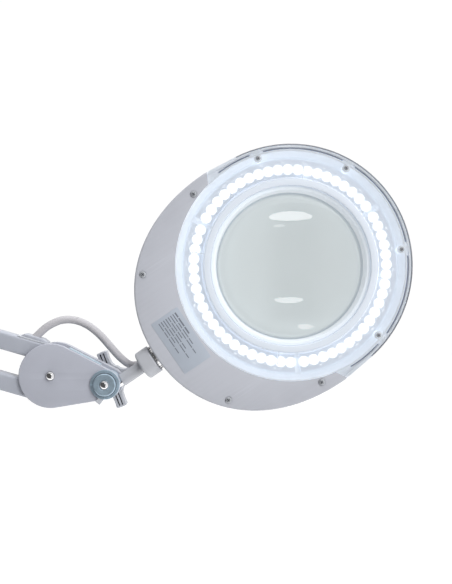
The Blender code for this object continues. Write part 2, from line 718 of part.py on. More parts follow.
def back_housing(frame):
    body = part(prism("back_housing", [head_outline()], BACK_FACE, SPLIT - GAP), frame,
                "grey_plastic")
    floor_top = BACK_FACE + WALL
    hollow = prism("back_hollow", [head_outline(WALL)], floor_top, 0.0)
    opening = cylinder("back_opening", LENS_OPENING, -0.03, 0.0, steps=LARGE)
    outside, inside = INNER_WALL_INSIDE - GAP, LENS_OPENING - 0.002
    seat = [(outside, -0.0008), (outside, floor_top - 0.001), (inside, floor_top - 0.001),
            (inside, LENS_MIDDLE - LENS_RIM), (LENS_RADIUS + GAP, LENS_MIDDLE - LENS_RIM),
            (LENS_RADIUS + GAP, -0.0008)]
    wall = turned("lens_seat", seat, LARGE, hollow=True)
    posts = cylinders("housing_posts", 0.0026, floor_top - 0.001, 0.010, HOUSING_SCREWS, TINY)
    pilots = cylinders("post_holes", 0.0014, 0.001, 0.02, HOUSING_SCREWS, TINY)
    rocker = box("rocker_space", (ROCKER_LENGTH + 0.001, ROCKER_WIDTH + 0.001, 0.01),
                 (*ROCKER_PLACE, BACK_FACE))
    lugs = boxes("hinge_lugs", (0.006, 0.004, 0.0063),
                 [Matrix.Translation((LID_HINGE_X, y, -0.0247)) for y in (-0.013, 0.013)])
    pin = cylinder("hinge_hole", 0.0016, -0.02, 0.02, steps=TINY)
    cut(body, tool(hollow, frame))
    join(body, tool(wall, frame, turn=(0, 0, SEAM_TURN)), tool(posts, frame), tool(lugs, frame))
    cut(body, tool(opening, frame, turn=(0, 0, SEAM_TURN)), tool(pilots, frame), tool(rocker, frame),
        tool(pin, frame, at=(LID_HINGE_X, 0, LID_HINGE_Z), turn=(-90, 0, 0)))


def lens_pieces(frame):
    steps = 4
    radii = [LENS_RADIUS * step / steps for step in range(steps + 1)]
    bow = (LENS_RADIUS ** 2 + LENS_SAG ** 2) / (2 * LENS_SAG)
    front = [(r, LENS_EDGE / 2 + LENS_SAG - bow + math.sqrt(bow ** 2 - r ** 2)) for r in radii]
    back = [(r, -height) for r, height in reversed(front)]
    part(turned("lens", front + back, LARGE), frame, "glass", at=(0, 0, LENS_MIDDLE))
    top, bottom = 0.0105, LENS_MIDDLE + LENS_RIM
    profile = [(INNER_WALL_INSIDE - GAP, top), (INNER_WALL_INSIDE - GAP, bottom),
               (LENS_OPENING, bottom), (LENS_OPENING + 0.0015, top)]
    part(turned("lens_ring", profile, LARGE, hollow=True), frame, "white_plastic")


def led_boards(frame):
    half = LED_PITCH * LEDS_PER_BOARD / 2 - 0.5
    inside, outside, board_low, board_high = 0.0735, 0.0880, 0.0033, 0.0045
    first = -LED_PITCH * (LEDS_PER_BOARD - 1) / 2
    for number, middle in enumerate((60, 180, 300), 1):
        outline = arc(outside, -half, half, 14) + arc(inside, half, -half, 14)
        holder = bpy.data.objects.new(f"led_board_{number}_turn", None)
        parts.objects.link(holder)
        place(holder, frame, turn=(0, 0, middle))
        board = prism(f"led_board_{number}", [outline], board_low, board_high)
        part(board, holder, "board")
        leds = [Matrix.Rotation(math.radians(first + LED_PITCH * i), 4, "Z")
                @ Matrix.Translation((LED_RING_RADIUS, 0, board_high + 0.0007))
                for i in range(LEDS_PER_BOARD)]
        join(board, tool(boxes(f"leds_{number}", (0.0050, 0.0045, 0.0020), leds), holder))


def cover_and_screws(frame):
    low = FRONT_FACE - COVER_THICKNESS
    holes = [circle(0.0016, polar(COVER_SCREW_RADIUS, a), TINY) for a in COVER_SCREW_ANGLES]
    outline = cover_outline(0.0, COVER_RADIUS)
    loops = [outline, circle(INNER_WALL_OUTSIDE + 0.0005, steps=LARGE), *holes]
    part(prism("led_cover", loops, low, FRONT_FACE), frame, "clear")
    screw = [(0.0, 0.0010), (0.0012, 0.0009), (0.00205, GAP), (0.0011, GAP), (0.0011, -0.009),
             (0.0, -0.009)]
    for number, angle in enumerate(COVER_SCREW_ANGLES, 1):
        part(turned(f"cover_screw_{number}", screw, TINY), frame, "steel",
             at=(*polar(COVER_SCREW_RADIUS, angle), FRONT_FACE))
    screw = [(0.0, 0.0012), (0.0015, 0.0010), (0.0025, GAP), (0.0011, GAP), (0.0011, -0.011),
             (0.0, -0.011)]
    for number, centre in enumerate(HOUSING_SCREWS, 1):
        part(turned(f"housing_screw_{number}", screw, TINY), frame, "steel", at=(*centre, FRONT_FACE))


def head_inside(frame):
    socket = ring("swivel_socket", SHAFT_RADIUS + GAP, 0.0078, -0.1295, -0.1135)
    part(socket, frame, "zinc", turn=(0, 90, 0))
    board = part(box("driver_board", (0.026, 0.056, 0.0016), (-0.111, 0, -0.0168)), frame,
                 "green_board")
    blocks = [Matrix.Translation((-0.110, y, -0.0140)) for y in (-0.020, 0.0, 0.020)]
    join(board, tool(boxes("board_parts", (0.012, 0.010, 0.0050), blocks), frame))


def rocker(frame):
    """The rocker's cap rests with one end down, and turns about an axle across its middle."""
    x, y = ROCKER_PLACE
    holder = bpy.data.objects.new("rocker_axle", None)
    parts.objects.link(holder)
    place(holder, frame, at=(x, y, -0.0192), turn=(0, -ROCKER_TILT, 0))
    half = ROCKER_LENGTH / 2 - 0.001
    outline = [(-half, -0.0048), (0.0, -0.0036), (half, -0.0048), (half, 0.0), (0.003, 0.004),
               (-0.003, 0.004), (-half, 0.0)]
    cap = prism("power_rocker", [outline], -ROCKER_WIDTH / 2, ROCKER_WIDTH / 2)
    part(cap, holder, "black", turn=(90, 0, 0))


def lens_lid(frame):
    hinge = bpy.data.objects.new("lid_hinge", None)
    parts.objects.link(hinge)
    place(hinge, frame, at=(LID_HINGE_X, 0, LID_HINGE_Z))
    top, bottom = 0.0028, 0.0006
    lid = prism("lens_cover", [circle(LID_RADIUS, (-LID_HINGE_X, 0), LARGE)], bottom, top)
    part(lid, hinge, "white_plastic")
    tab = tool(box("lid_tab", (0.024, 0.020, top - bottom), (-0.011, 0, (top + bottom) / 2)), hinge)
    barrel = tool(cylinder("lid_barrel", 0.0026, -0.010, 0.010), hinge, turn=(90, 0, 0))
    bore = tool(cylinder("lid_bore", 0.0016, -0.02, 0.02, steps=TINY), hinge, turn=(90, 0, 0))
    join(lid, tab, barrel)
    cut(lid, bore)
    pin = cylinder("cover_hinge_pin", 0.0012, -0.0155, 0.0155, steps=TINY)
    part(pin, frame, "steel", at=(LID_HINGE_X, 0, LID_HINGE_Z), turn=(90, 0, 0))


def head(tilt_centre):
    angle = math.radians(HEAD_ANGLE)
    x = tilt_centre[0] + HEAD_DISTANCE * math.cos(angle) + STEM_OFFSET * math.sin(angle)
    z = tilt_centre[1] + HEAD_DISTANCE * math.sin(angle) - STEM_OFFSET * math.cos(angle)
    frame = plane_frame("head_frame", x, z, HEAD_ANGLE)
    front_housing(frame)
    back_housing(frame)
    lens_pieces(frame)
    led_boards(frame)
    cover_and_screws(frame)
    head_inside(frame)
    rocker(frame)
    lens_lid(frame)


# Cords

def arm_cords(elbow_lower, tilt_centre):
    """Three short loops carry the lead over the base, the elbow and the head bracket."""
    base = plane_frame("base_cord_frame", 0.0, BASE_HEIGHT)
    route = [(-0.0165, -0.0355, 0), (-0.024, -0.0345, 0), (-0.0365, -0.026, 0), (-0.042, -0.010, 0),
             (-0.0395, 0.010, 0), (-0.0310, 0.029, 0), (-0.0205, 0.0430, 0), (-0.0090, 0.0530, 0)]
    part(tube("base_cord", smooth_route(route, CORD_STEP), CORD_RADIUS), base, "cord")

    over = plane_frame("elbow_cord_frame", *elbow_lower)
    route = [(-0.0460, -0.0537, 0), (-0.0520, -0.0490, 0), (-0.0570, -0.0330, 0),
             (-0.0530, -0.0080, 0), (-0.0400, 0.0200, 0), (-0.0230, 0.0460, 0),
             (-0.0020, 0.0720, 0), (0.0250, 0.0880, 0), (0.0520, 0.0900, 0), (0.0730, 0.0810, 0),
             (0.0840, 0.0690, 0), (0.0870, 0.0573, 0)]
    part(tube("elbow_cord", smooth_route(route, CORD_STEP), CORD_RADIUS), over, "cord")
    clip = box("elbow_cord_clip", (CLIP_LENGTH, CLIP_END - CLIP_START, CLIP_WIDTH),
               (CLIP_PLACE, (CLIP_START + CLIP_END) / 2, 0))
    part(clip, over, "grey_plastic", turn=(0, 0, ELBOW_RISE))
    groove = tube("clip_groove", smooth_route(route, CORD_STEP), CORD_RADIUS + GAP)
    cut(clip, tool(as_mesh(groove), over))

    loop = plane_frame("head_cord_frame", *tilt_centre)
    route = [(-0.0573, 0.0404, 0), (-0.0530, 0.0445, -0.0005), (-0.0477, 0.0484, -0.001),
             (-0.0396, 0.0520, -0.002), (-0.0314, 0.0528, -0.003), (-0.0232, 0.0511, -0.004),
             (-0.0150, 0.0468, -0.005), (-0.0067, 0.0398, -0.006), (0.0015, 0.0304, -0.007),
             (0.0090, 0.0218, -0.008), (0.0160, 0.0158, -0.0088), (0.0205, 0.0141, -0.0092),
             (0.0250, 0.0146, -0.0092)]
    part(tube("head_cord", smooth_route(route, CORD_STEP), CORD_RADIUS), loop, "cord")


def as_mesh(curve_object):
    cutters.objects.link(curve_object)
    graph = bpy.context.evaluated_depsgraph_get()
    shape = bpy.data.meshes.new_from_object(curve_object.evaluated_get(graph))
    name = curve_object.name
    bpy.data.objects.remove(curve_object)

    def build(form):
        form.from_mesh(shape)
        bmesh.ops.remove_doubles(form, verts=form.verts, dist=0.00001)

    return solid(name, build)


def lead_route(x, edge):
    """The lead from the gland down to the table and round to the side of the coil it joins."""
    lying = CORD_RADIUS + 0.0001
    steps, landing = 8, 5
    route = [(0, LEAD_START, LEAD_EXIT_HEIGHT)]
    for step in range(steps + 1):
        angle = math.pi / 2 * step / steps
        fall = (1 - math.cos(math.pi * min(1.0, step / landing))) / 2
        route.append((
            x * (1 - math.cos(angle)),
            LEAD_BEND_START + (edge - LEAD_BEND_START) * math.sin(angle),
            LEAD_EXIT_HEIGHT + (lying - LEAD_EXIT_HEIGHT) * fall,
        ))
    return route


def mains_lead(root):
    x, y = COIL_CENTRE
    route = lead_route(x, y + COIL_OUTSIDE + CORD_RADIUS + GAP)
    part(tube("mains_lead", smooth_route(route, CORD_STEP), CORD_RADIUS), root, "cord")
    coil = ring("mains_coil", COIL_INSIDE, COIL_OUTSIDE, 0.0, COIL_HEIGHT, 32)
    part(coil, root, "cord", at=(x, y, 0))

    start = (x - PLUG_OFFSET, y - COIL_OUTSIDE + CORD_RADIUS, PLUG_HEIGHT)
    facing = (90, 0, -90)
    tail = [(0.0, 0.0), (0.0045, 0.0), (0.0058, PLUG_TAIL), (0.0, PLUG_TAIL)]
    plug = turned("mains_plug", tail[::-1], SMALL)
    part(plug, root, "black", at=start, turn=facing)
    middle = PLUG_TAIL - 0.0015 + PLUG_BODY[2] / 2
    body = tool(box("plug_body", PLUG_BODY, (0, 0, middle)), root, at=start, turn=facing)
    half = PLUG_PIN_SPACING / 2
    pins = cylinders("plug_pins", 0.0020, PLUG_TAIL + 0.027, PLUG_REACH, [(-half, 0), (half, 0)], TINY)
    join(plug, body, tool(pins, root, at=start, turn=facing))


def build():
    root = clamp()
    clamp_screw(root)
    base_yoke()
    elbow_lower = lower_arm()
    elbow_upper = elbow(elbow_lower)
    bracket = upper_arm(elbow_upper)
    tilt_centre = head_bracket(bracket)
    tilt_joint(tilt_centre)
    tilt_stem(tilt_centre)
    head(tilt_centre)
    arm_cords(elbow_lower, tilt_centre)
    mains_lead(root)


clear_scene()
parts = new_collection("magnifying_lamp")
cutters = new_collection("cutters")
build()
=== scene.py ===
import math

import bmesh
import bpy
import numpy as np
from mathutils import Matrix, Vector
from mathutils.geometry import tessellate_polygon


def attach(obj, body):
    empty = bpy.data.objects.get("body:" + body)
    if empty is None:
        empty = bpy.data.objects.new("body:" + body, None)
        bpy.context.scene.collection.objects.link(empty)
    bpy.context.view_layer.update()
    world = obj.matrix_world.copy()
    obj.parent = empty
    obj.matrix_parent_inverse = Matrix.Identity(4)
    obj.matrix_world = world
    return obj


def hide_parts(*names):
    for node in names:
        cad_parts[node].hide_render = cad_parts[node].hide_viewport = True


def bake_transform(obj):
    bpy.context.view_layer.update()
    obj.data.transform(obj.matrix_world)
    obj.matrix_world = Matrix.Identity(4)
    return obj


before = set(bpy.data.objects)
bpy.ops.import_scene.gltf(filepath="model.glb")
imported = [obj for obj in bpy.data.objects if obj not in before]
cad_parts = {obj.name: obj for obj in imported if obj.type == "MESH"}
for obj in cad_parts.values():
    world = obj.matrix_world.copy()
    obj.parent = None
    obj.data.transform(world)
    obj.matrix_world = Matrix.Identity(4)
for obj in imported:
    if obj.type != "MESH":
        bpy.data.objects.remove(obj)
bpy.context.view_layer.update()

# Sides of a round shape
FINE = 144
ROUND = 96
SMALL = 40
TINY = 24

ON_AXIS = 1e-7
CREASE = math.radians(32)

# Camera, from the tilt joint
CAMERA_RIGHT = 0.0992
CAMERA_UP = 0.0759
CAMERA_DISTANCE = 0.676
CAMERA_LENS = 50.0
CAMERA_SENSOR = 36.0

# Arm, as in the CAD source
ARM_LENGTH = 0.380
LOWER_LEAN = 20.0
UPPER_SLOPE = -16.2
BASE_HEIGHT = 0.100
LOWER_HALF = 0.018
UPPER_HALF = 0.017
ELBOW_REACH = 0.056
ELBOW_RISE = 60.0
BAR_HEIGHT = 0.0146
BAR_WIDTH = 0.015
BAR_WALL = 0.0012
BAR_OVERHANG = 0.007
PLATE_INNER = 0.0082
PLATE_OUTER = 0.0106
PLATE_RADIUS = 0.0265
SPRING_DEPTH = 0.015
SPRING_RADIUS = 0.0035
SPRING_WIRE = 0.00055
SPRING_PITCH = 0.00135
SPRING_END = 0.010
SPRING_HOOK = 0.0031
SPRING_PIN_PLACE = 0.150
ROD_RADIUS = 0.002
ROD_HOLE = 0.0023
CORD_RADIUS = 0.00325
CORD_SPACING = 0.0025

# Tilt joint and stem
TILT_REACH = 0.0448
TILT_DROP = -0.007
TILT_TIP_RADIUS = 0.0123
HEAD_ANGLE = 34.3
HEAD_DISTANCE = 0.1807
STEM_OFFSET = 0.0052
STEM_RADIUS = 0.0053
STEM_START = -0.1690
COLLAR_START = -0.1486
COLLAR_END = -0.1362
SHAFT_RADIUS = 0.004
BOLT_HOLE = 0.0044
WASHER_RADIUS = 0.01215
WASHER_TOP = 0.0124
COLLAR_RADIUS = 0.01215

KNOB_FRONT = -0.0265
KNOB_BACK = -0.0383
KNOB_TURN = 21
FLANGE_DEPTH = 0.0170
WEB_START = 0.002
WEB_LENGTH = 0.0295

# Head
HEAD_RADIUS = 0.0996
TAIL_MIDDLE = -0.0163
TAIL_LENGTH = 0.1169
TAIL_HALF_WIDTH = 0.1022
TAIL_SQUARENESS = 2.15
WALL = 0.0024
FRONT_FACE = 0.014
SPLIT = -0.008
BACK_FACE = -0.022
SKIRT_BOTTOM = 0.0040
LENS_RADIUS = 0.0635
LENS_MIDDLE = -0.003
LENS_EDGE = 0.004
LENS_SAG = 0.0085
LENS_OPENING = 0.061
LENS_RIM = 0.0030
INNER_WALL_INSIDE = 0.0658
INNER_WALL_OUTSIDE = 0.0713
RING_WALL_INSIDE = 0.0938
RING_WALL_OUTSIDE = 0.0955
COVER_RADIUS = 0.0932
COVER_BOTTOM = 0.0118
COVER_STEP_X = -0.0118
COVER_STEP_ANGLE = 102
LEDS_PER_BOARD = 20
LED_PITCH = 5.9
LED_RING_RADIUS = 0.0798
COVER_SCREW_RADIUS = 0.0915
COVER_SCREW_ANGLES = (-72.7, -26.0, 26.0, 72.7)
HOUSING_SCREWS = ((-0.0328, -0.0929), (-0.0328, 0.0929), (-0.104, -0.0621), (-0.104, 0.0621))
ROCKER_PLACE = (-0.098, 0.045)
ROCKER_TILT = 8.0
LID_RADIUS = 0.070
LID_HINGE = (0.088, 0.0, -0.0252)

# Clamp and mains lead
CLAMP_WIDTH = 0.046
SCREW_X = 0.008
LEAD_HEIGHT = 0.018
COIL_CENTRE = (0.140, 0.060)
COIL_COLUMNS = (
    (0.04175, 0.00325), (0.03525, 0.00325), (0.02875, 0.00325),
    (0.03200, 0.00890), (0.03850, 0.00890),
    (0.02875, 0.01453), (0.03525, 0.01453), (0.04175, 0.01453),
)
LEAD_START = 0.0453
LEAD_BEND_START = 0.055
PLUG_OFFSET = 0.0262
PLUG_HEIGHT = 0.0072

# Light
DARK_SCREEN = 0.10
SKY_STRENGTH = 1.02
STAGE_GLOW = 0.38
# name, place, target, width, height, power, and whether shiny things mirror it
SOFT_BOXES = (
    ("strip_box", (0.86, -1.50, 1.23), (0.72, 0.0, 0.53), 0.60, 0.14, 1.3, True),
    ("low_strip_box", (1.12, -1.70, -0.42), (0.72, 0.0, 0.50), 0.27, 0.09, 0.22, True),
    ("key_box", (1.9, -1.5, 1.5), (0.60, 0.0, 0.42), 1.2, 1.2, 27.0, False),
    ("top_box", (0.30, -0.2, 1.9), (0.60, 0.0, 0.42), 1.2, 0.9, 10.0, False),
)


# Frames

def plane(x, z, degrees=0.0):
    cosine, sine = math.cos(math.radians(degrees)), math.sin(math.radians(degrees))
    return Matrix((
        (cosine, -sine, 0.0, x),
        (0.0, 0.0, -1.0, 0.0),
        (sine, cosine, 0.0, z),
        (0.0, 0.0, 0.0, 1.0),
    ))


def shift(x=0.0, y=0.0, z=0.0):
    return Matrix.Translation((x, y, z))


def turn(degrees, axis="Z"):
    return Matrix.Rotation(math.radians(degrees), 4, axis)


def direction(degrees):
    return Vector((math.cos(math.radians(degrees)), math.sin(math.radians(degrees))))


lower_pivot = Vector((0.0, BASE_HEIGHT))
elbow_low = lower_pivot + ARM_LENGTH * direction(90 - LOWER_LEAN)
elbow_high = elbow_low + ELBOW_REACH * direction(ELBOW_RISE)
bracket_middle = elbow_high + ARM_LENGTH * direction(UPPER_SLOPE)
tilt_centre = bracket_middle + Vector((TILT_REACH, TILT_DROP))
along, across = direction(HEAD_ANGLE), direction(HEAD_ANGLE + 90)
head_centre = tilt_centre + HEAD_DISTANCE * along - STEM_OFFSET * across

WORLD = Matrix.Identity(4)
BASE = plane(*lower_pivot)
ELBOW = plane(*elbow_low)
BRACKET = plane(*bracket_middle)
TILT_FIXED = plane(*tilt_centre)
TILT = plane(*tilt_centre, HEAD_ANGLE)
HEAD = plane(*head_centre, HEAD_ANGLE)
LOWER_BAR = plane(lower_pivot.x - LOWER_HALF, lower_pivot.y, 90 - LOWER_LEAN)
LOWER_TIE = plane(lower_pivot.x + LOWER_HALF, lower_pivot.y, 90 - LOWER_LEAN)
UPPER_BAR = plane(elbow_high.x, elbow_high.y + UPPER_HALF, UPPER_SLOPE)
UPPER_TIE = plane(elbow_high.x, elbow_high.y - UPPER_HALF, UPPER_SLOPE)
ALONG_X = Matrix(((0, 0, 1, 0), (1, 0, 0, 0), (0, 1, 0, 0), (0, 0, 0, 1)))


# Materials

def node_of(tree, kind, **inputs):
    node = tree.nodes.new(kind)
    for name, value in inputs.items():
        node.inputs[name.replace("_", " ")].default_value = value
    return node


def shade(colour, factor):
    return (*[min(1.0, channel * factor) for channel in colour], 1.0)


def finish(name, colour, roughness, metallic=0.0, mottle=0.05, mottle_scale=60.0, grain=0.03,
           grain_scale=1800.0, grain_depth=0.00002, edge_lightening=1.15, **sockets):
    """A material with slow colour drift, uneven gloss, a fine surface grain and lighter convex edges."""
    material = bpy.data.materials.new(name)
    material.use_nodes = True
    tree = material.node_tree
    shader = tree.nodes["Principled BSDF"]
    shader.inputs["Metallic"].default_value = metallic
    for socket, value in sockets.items():
        shader.inputs[socket.replace("_", " ")].default_value = value
    place = tree.nodes.new("ShaderNodeTexCoord")

    drift = node_of(tree, "ShaderNodeTexNoise", Scale=mottle_scale, Detail=3.0)
    tree.links.new(place.outputs["Object"], drift.inputs["Vector"])
    ramp = tree.nodes.new("ShaderNodeValToRGB")
    ramp.color_ramp.elements[0].position = 0.3
    ramp.color_ramp.elements[0].color = shade(colour, 1.0 - mottle)
    ramp.color_ramp.elements[1].position = 0.7
    ramp.color_ramp.elements[1].color = shade(colour, 1.0 + mottle)
    tree.links.new(drift.outputs["Fac"], ramp.inputs["Fac"])

    # Convex edges, found by pointiness, are made lighter by this factor.
    geometry = tree.nodes.new("ShaderNodeNewGeometry")
    edge = node_of(tree, "ShaderNodeMapRange", From_Min=0.53, From_Max=0.62)
    tree.links.new(geometry.outputs["Pointiness"], edge.inputs["Value"])
    lightened_edges = tree.nodes.new("ShaderNodeMixRGB")
    lightened_edges.inputs["Color2"].default_value = shade(colour, edge_lightening)
    tree.links.new(edge.outputs["Result"], lightened_edges.inputs["Fac"])
    tree.links.new(ramp.outputs["Color"], lightened_edges.inputs["Color1"])
    tree.links.new(lightened_edges.outputs["Color"], shader.inputs["Base Color"])

    fine = node_of(tree, "ShaderNodeTexNoise", Scale=grain_scale, Detail=2.0)
    tree.links.new(place.outputs["Object"], fine.inputs["Vector"])
    gloss = node_of(tree, "ShaderNodeMapRange", To_Min=max(0.0, roughness - grain),
                    To_Max=min(1.0, roughness + grain))
    tree.links.new(drift.outputs["Fac"], gloss.inputs["Value"])
    tree.links.new(gloss.outputs["Result"], shader.inputs["Roughness"])
    bump = node_of(tree, "ShaderNodeBump", Strength=0.4, Distance=grain_depth)
    tree.links.new(fine.outputs["Fac"], bump.inputs["Height"])
    tree.links.new(bump.outputs["Normal"], shader.inputs["Normal"])
    return material


def glow(name, colour, strength):
    material = finish(name, colour, 0.3, mottle=0.01)
    shader = material.node_tree.nodes["Principled BSDF"]
    shader.inputs["Emission Color"].default_value = (*colour, 1.0)
    shader.inputs["Emission Strength"].default_value = strength
    return material


HOUSING_GREY = (0.490, 0.505, 0.556)
PAINT_GREY = (0.450, 0.466, 0.530)

housing_plastic = finish("housing_plastic", HOUSING_GREY, 0.42, mottle=0.02)
joint_plastic = finish("joint_plastic", (0.53, 0.55, 0.595), 0.40, mottle=0.03)
bar_paint = finish("bar_paint", (0.400, 0.420, 0.476), 0.38, mottle=0.025, grain_scale=900.0,
                   grain_depth=0.00003, edge_lightening=1.3)
grey_paint = finish("grey_paint", PAINT_GREY, 0.38, mottle=0.025, grain_scale=900.0,
                    grain_depth=0.00003, edge_lightening=1.25)
stem_paint = finish("stem_paint", (0.458, 0.470, 0.506), 0.40, mottle=0.025, edge_lightening=1.2)
# Painted light: the lens lid glows so that it reads evenly bright through the lens.
lid_painted_glow = glow("lid_painted_glow", (0.42, 0.438, 0.443), 1.16)
nylon = finish("nylon", (0.72, 0.71, 0.66), 0.5)
zinc = finish("zinc", (0.43, 0.55, 0.65), 0.34, metallic=0.55, mottle=0.12, mottle_scale=220.0, edge_lightening=1.5)
chrome = finish("chrome", (0.78, 0.78, 0.79), 0.09, metallic=1.0, mottle=0.03, grain_depth=0.000005)
spring_steel = finish("spring_steel", (0.55, 0.56, 0.58), 0.26, metallic=1.0, mottle=0.1)
screw_steel = finish("screw_steel", (0.46, 0.48, 0.51), 0.32, metallic=0.45, mottle=0.15,
                     mottle_scale=600.0, edge_lightening=1.8)
# Painted shade: near black for the insides of recesses (screw crosses, knob slots, the knob's bore) and the
# shadow ring under the tilt bolt's raised head.
painted_shade_dark = finish("painted_shade_dark", (0.085, 0.095, 0.12), 0.6)
black_plastic = finish("black_plastic", (0.022, 0.022, 0.024), 0.38, mottle=0.2, edge_lightening=2.5)
black_rubber = finish("black_rubber", (0.020, 0.020, 0.021), 0.72, mottle=0.2, edge_lightening=2.0)
cord_pvc = finish("cord_pvc", (0.488, 0.480, 0.505), 0.45, mottle=0.012, mottle_scale=60.0,
                  grain_depth=0.000004, edge_lightening=1.0)
# Painted light: the LED boards glow as if lit by their LEDs.
board_painted_glow = glow("board_painted_glow", (0.74, 0.79, 0.86), 0.40)
board_green = finish("board_green", (0.02, 0.14, 0.05), 0.35, mottle=0.15)
board_part = finish("board_part", (0.05, 0.05, 0.055), 0.45, mottle=0.2)
# Painted light: the LED package bodies and the resistors glow as if lit.
package_painted_glow = glow("package_painted_glow", (0.85, 0.88, 0.92), 0.55)
label_silver = finish("label_silver", (0.478, 0.525, 0.600), 0.42, metallic=0.15, mottle=0.03)
label_print = finish("label_print", (0.16, 0.175, 0.21), 0.5, mottle=0.1)
lens_glass = finish("lens_glass", (0.955, 0.985, 0.985), 0.0, mottle=0.003, grain=0.0,
                    grain_depth=0.0000004, edge_lightening=1.0, Transmission_Weight=1.0, IOR=1.52)
clear_plastic = finish("clear_plastic", (0.975, 0.985, 1.0), 0.03, mottle=0.004, grain=0.02,
                       grain_depth=0.000001, edge_lightening=1.0, Transmission_Weight=1.0, IOR=1.2)
led_light = glow("led_light", (0.90, 0.95, 1.0), 2.4)
led_halo = glow("led_halo", (0.93, 0.96, 1.0), 0.85)
# Painted light: the lens ring and lens seat glow so that they read lighter.
lens_rim_painted_glow = glow("lens_rim_painted_glow", (0.56, 0.60, 0.64), 0.56)
# Painted light: a glowing, brighter copy of the white plastic, for the LED channel moulding and the shell's
# far half.
lit_white = glow("lit_white", (0.77, 0.815, 0.87), 0.42)
# Painted light: the inner wall round the lens glows so that it reads lit.
inner_wall_painted_glow = glow("inner_wall_painted_glow", (0.64, 0.69, 0.76), 0.16)
# Painted shade: grey for the dark lines of the rim's grooves.
groove_painted_shade = finish("groove_painted_shade", (0.42, 0.45, 0.54), 0.5)


# Flat outlines

def arc(radius, start, end, steps, centre=(0.0, 0.0)):
    angles = np.radians(np.linspace(start, end, steps + 1))
    return [(centre[0] + radius * math.cos(a), centre[1] + radius * math.sin(a)) for a in angles]


def quarter(steps):
    """The cosine and sine of even steps from 0 to 90 degrees."""
    angles = [math.pi / 2 * step / steps for step in range(steps + 1)]
    return [(math.cos(angle), math.sin(angle)) for angle in angles]


def circle(radius, centre=(0.0, 0.0), steps=SMALL):
    return arc(radius, 0.0, 360.0, steps, centre)[:-1]


def cross(a, b, c):
    return (b[0] - a[0]) * (c[1] - a[1]) - (b[1] - a[1]) * (c[0] - a[0])


def hull(circles, steps=ROUND):
    """The outline round some circles, given as (centre, radius)."""
    return convex(point for centre, radius in circles for point in circle(radius, centre, steps))


def convex(points):
    """The convex outline round some points, counterclockwise from the leftmost one."""
    points = sorted(points)

    def half(ordered):
        chain = []
        for point in ordered:
            while len(chain) > 1 and cross(chain[-2], chain[-1], point) <= 1e-12:
                chain.pop()
            chain.append(point)
        return chain[:-1]

    return half(points) + half(points[::-1])


def soft_corners(points, radius, steps=5):
    """The same closed outline with every corner rounded."""
    outline = []
    for before, corner, after in zip(points[-1:] + points[:-1], points, points[1:] + points[:1]):
        corner = Vector(corner)
        back, ahead = Vector(before) - corner, Vector(after) - corner
        half_angle = back.angle(ahead) / 2
        reach = min(radius / math.tan(half_angle), 0.45 * back.length, 0.45 * ahead.length)
        start, end = corner + reach * back.normalized(), corner + reach * ahead.normalized()
        for step in range(steps + 1):
            t = step / steps
            outline.append(tuple((1 - t) ** 2 * start + 2 * t * (1 - t) * corner + t ** 2 * end))
    return outline


def rectangle(width, height, radius, centre=(0.0, 0.0)):
    x, y = width / 2, height / 2
    corners = [(x, y), (-x, y), (-x, -y), (x, -y)]
    return soft_corners([(centre[0] + a, centre[1] + b) for a, b in corners], radius)


def head_outline(inset=0.0):
    """A circle round the lens and a longer, squarer tail, joined smoothly."""
    points = circle(HEAD_RADIUS - inset, steps=FINE)
    for step in range(FINE + 1):
        angle = math.pi * (0.5 + step / FINE)
        x, y = (math.copysign(abs(side) ** (2 / TAIL_SQUARENESS), side)
                for side in (math.cos(angle), math.sin(angle)))
        points.append((TAIL_MIDDLE + (TAIL_LENGTH - inset) * x, (TAIL_HALF_WIDTH - inset) * y))
    return convex(points)


def height_at(outline, x):
    """How far above the X axis a counterclockwise outline is at x."""
    for (right, high), (left, low) in zip(outline, outline[1:] + outline[:1]):
        if left <= x < right:
            return high + (low - high) * (right - x) / (right - left)


def cover_outline(inset, tail_radius):
    """The clear cover: the far half follows the head's edge, and the tail half is a smaller circle."""
    outline = head_outline(inset)
    far = [point for point in outline if point[0] > COVER_STEP_X]
    tail = arc(tail_radius, COVER_STEP_ANGLE, 360 - COVER_STEP_ANGLE, 60)
    corner = height_at(outline, COVER_STEP_X)
    return [*far, (COVER_STEP_X, corner), *tail, (COVER_STEP_X, -corner)]


def polar(radius, degrees):
    return tuple(radius * direction(degrees))


# Shapes: each is (points, faces)

def merged(*shapes):
    points, faces = [], []
    for shape_points, shape_faces in shapes:
        start = len(points)
        points.extend(shape_points)
        faces.extend(tuple(index + start for index in face) for face in shape_faces)
    return points, faces


def moved(shape, matrix):
    return [tuple(matrix @ Vector(point)) for point in shape[0]], shape[1]


def loop_normals(loop):
    """Normals to the right of a closed loop, longer at corners so that an inset keeps its width."""
    normals = []
    for before, here, after in zip(loop[-1:] + loop[:-1], loop, loop[1:] + loop[:1]):
        first = Vector((here[1] - before[1], before[0] - here[0])).normalized()
        second = Vector((after[1] - here[1], here[0] - after[0])).normalized()
        middle = (first + second).normalized()
        normals.append(middle / max(0.5, middle.dot(first)))
    return normals


def area_of(loop):
    return sum(a[0] * b[1] - a[1] * b[0] for a, b in zip(loop, loop[1:] + loop[:1])) / 2


def levels(low, high, low_round=0.0, high_round=0.0, steps=4):
    """(inset, height) of each ring up a wall whose two edges are rounded."""
    rings = []
    for cosine, sine in quarter(steps)[:None if low_round else 1]:
        rings.append((low_round * (1 - sine), low + low_round * (1 - cosine)))
    for cosine, sine in quarter(steps)[:None if high_round else 1]:
        rings.append((high_round * (1 - cosine), high - high_round * (1 - sine)))
    return rings


